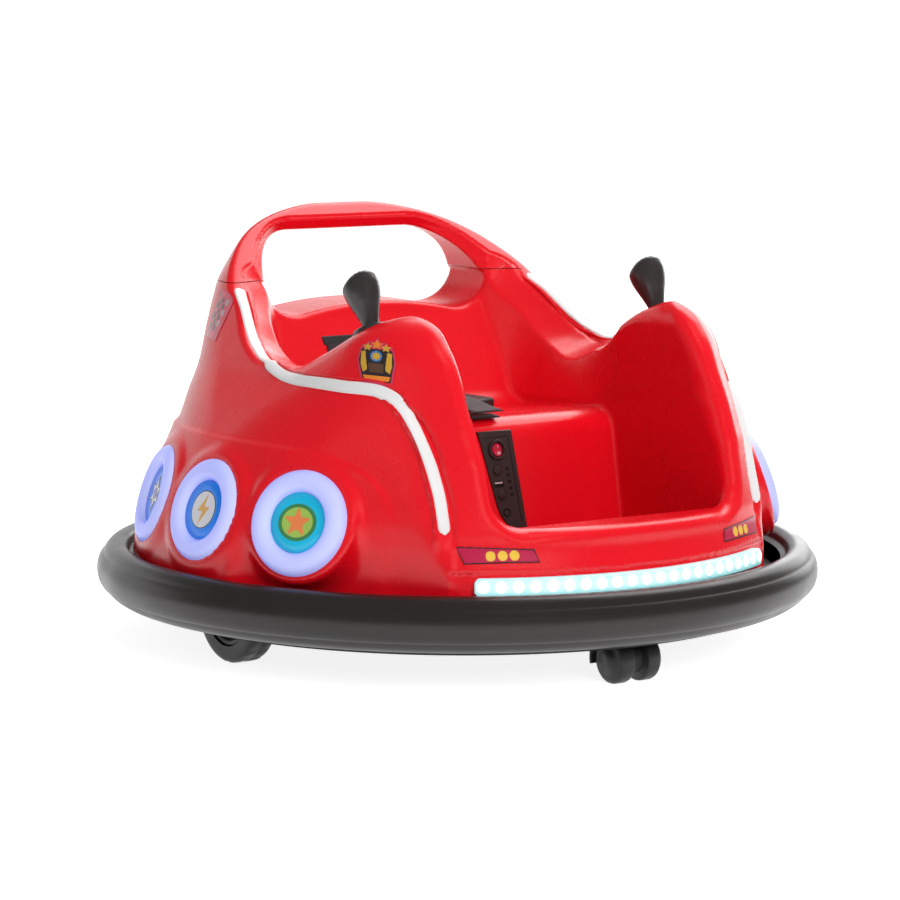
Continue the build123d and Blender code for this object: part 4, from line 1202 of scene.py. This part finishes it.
# A second thin black strip lies on the seat under the end of the left strap, a dark line below its end
UNDER_STRIP_LINE = (
    (-0.013, -0.0700, 0.2335), (-0.013, -0.0600, 0.2348), (-0.013, -0.0400, 0.2340),
    (-0.014, -0.010, 0.2325),
)
belt_left = strap("belt_left", LEFT_LINE, ((1, 0, 0), (1, 0.05, 0)), 0.036, 0.0016)
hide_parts("belt_strap_left")
belt_right = strap("belt_right", RIGHT_LINE, ((1, 0, 0), (1, 0.4, 0)), 0.036, 0.0016)
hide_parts("belt_strap_right")
strap("belt_under_strip", UNDER_STRIP_LINE, ((1, 0, 0), (1, 0, 0)), 0.034, 0.0014)


def soft_block(name, centre, across, up, size, radius):
    """A black block with rounded edges."""
    def form(x, y, z):
        u, v, w = (np.abs(a) - (s / 2 - radius) for a, s in zip((x, y, z), size))
        return (np.sqrt(np.maximum(u, 0) ** 2 + np.maximum(v, 0) ** 2 + np.maximum(w, 0) ** 2)
                + np.minimum(np.maximum(u, np.maximum(v, w)), 0) - radius)
    reach = [s / 2 + 0.003 for s in size]
    points, faces = moulded(form, [-r for r in reach], reach, min(size) / 9)
    across = Vector(across).normalized()
    up = Vector(up).normalized()
    points = placed(points, centre, across, up, across.cross(up))
    return new_piece(name, points, faces, black_plastic, slot="black_plastic")


buckle = soft_block(
    "buckle", (0.036, 0.042, 0.2345), (0.92, 0.38, 0), (-0.38, 0.92, 0.05), (0.044, 0.050, 0.013), 0.004
)
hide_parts("belt_buckle")
for side_name, place in (("left", (-0.060, 0.1345, 0.2965)), ("right", (0.045, 0.1115, 0.2540))):
    soft_block(f"belt_slot_{side_name}", place, (1, 0, 0), (0, 0.058, 0.108), (0.042, 0.011, 0.006), 0.002)

# Floor, light and camera
# A pale floor and backdrop under soft studio lamps, white to the camera and in gloss; the camera
# stands where the photograph was taken.


def stage_finish(name, lift):
    """A pale ground that shows white to the camera and keeps the soft shadow of the car."""
    finish = bpy.data.materials.new(name)
    finish.use_nodes = True
    tree = finish.node_tree
    tree.nodes.clear()
    out = add_node(tree, "ShaderNodeOutputMaterial")
    matt = add_node(tree, "ShaderNodeBsdfDiffuse", {"Color": (0.80, 0.80, 0.80, 1)})
    shine = add_node(tree, "ShaderNodeEmission", {"Strength": lift})
    both = add_node(tree, "ShaderNodeAddShader")
    pick = add_node(tree, "ShaderNodeMixShader")
    rays = add_node(tree, "ShaderNodeLightPath")
    most = add_node(tree, "ShaderNodeMath", operation="MAXIMUM")
    clear = add_node(tree, "ShaderNodeMath", operation="MAXIMUM")
    for source, target in (
        (rays.outputs["Is Camera Ray"], most.inputs[0]), (rays.outputs["Is Glossy Ray"], most.inputs[1]),
        (most.outputs[0], clear.inputs[0]), (rays.outputs["Is Transmission Ray"], clear.inputs[1]),
        (matt.outputs[0], both.inputs[0]), (shine.outputs[0], both.inputs[1]),
        (clear.outputs[0], pick.inputs[0]), (matt.outputs[0], pick.inputs[1]),
        (both.outputs[0], pick.inputs[2]), (pick.outputs[0], out.inputs[0]),
    ):
        tree.links.new(source, target)
    return finish


def stage_sheet(name, corners, finish):
    """A flat sheet of the studio."""
    mesh = bpy.data.meshes.new(name)
    mesh.from_pydata(corners, [], [[0, 1, 2, 3]])
    mesh.materials.append(finish)
    sheet = bpy.data.objects.new(name, mesh)
    bpy.context.scene.collection.objects.link(sheet)


floor_corners = [(-12.0, -12.0, 0), (12.0, -12.0, 0), (12.0, 12.0, 0), (-12.0, 12.0, 0)]
wall_corners = [(-8.0, 8.0, -0.5), (10.0, 8.0, -0.5), (10.0, 8.0, 4.5), (-8.0, 8.0, 4.5)]
stage_sheet("floor", floor_corners, stage_finish("pale_floor", 0.85))
stage_sheet("backdrop", wall_corners, stage_finish("pale_backdrop", 1.0))

world = bpy.data.worlds.new("studio")
bpy.context.scene.world = world
world.use_nodes = True
sky = world.node_tree.nodes["Background"]
sky.inputs["Color"].default_value = (1, 1, 1, 1)
sky.inputs["Strength"].default_value = 0.24


def area_light(name, place, aim, size, power, mirrored_in_gloss=True):
    """A soft rectangular lamp that faces a point."""
    data = bpy.data.lights.new(name, "AREA")
    data.shape = "RECTANGLE"
    data.size, data.size_y = size
    data.energy = power
    lamp = bpy.data.objects.new(name, data)
    lamp.location = place
    lamp.rotation_euler = (Vector(aim) - Vector(place)).to_track_quat("-Z", "Y").to_euler()
    lamp.visible_glossy = mirrored_in_gloss
    bpy.context.scene.collection.objects.link(lamp)


area_light("softbox", (2.0, 1.0, 2.9), (0, 0, 0.2), (3.0, 2.4), 88.0)
area_light("right_panel", (3.3, 1.8, 1.0), (0, 0, 0.3), (2.4, 1.5), 34.0)
area_light("top_front", (0.1, -1.3, 2.7), (0, 0, 0.2), (1.0, 0.8), 26.0, mirrored_in_gloss=False)
area_light("front_fill", (-0.6, -3.6, 1.7), (0, 0, 0.2), (2.0, 1.4), 70.0, mirrored_in_gloss=False)
area_light("left_fill", (-3.3, -0.7, 1.5), (0, 0, 0.2), (1.6, 1.4), 14.0, mirrored_in_gloss=False)

# Where the camera stands, how far it turns to the right and looks down, and its slight roll
CAMERA_PLACE = (-1.95715, -2.85466, 0.65723)
CAMERA_TURN = radians(34.3)
CAMERA_DROP = radians(7.6563)
CAMERA_ROLL = radians(0.2376)
camera_data = bpy.data.cameras.new("camera")
camera_data.sensor_width = 36.0
camera_data.lens = 136.0
camera = bpy.data.objects.new("camera", camera_data)
camera.matrix_world = (
    Matrix.Translation(CAMERA_PLACE) @ Matrix.Rotation(-CAMERA_TURN, 4, "Z")
    @ Matrix.Rotation(pi / 2 - CAMERA_DROP, 4, "X") @ Matrix.Rotation(CAMERA_ROLL, 4, "Z")
)
bpy.context.scene.collection.objects.link(camera)
bpy.context.scene.camera = camera
bpy.context.scene.view_settings.view_transform = "Standard"
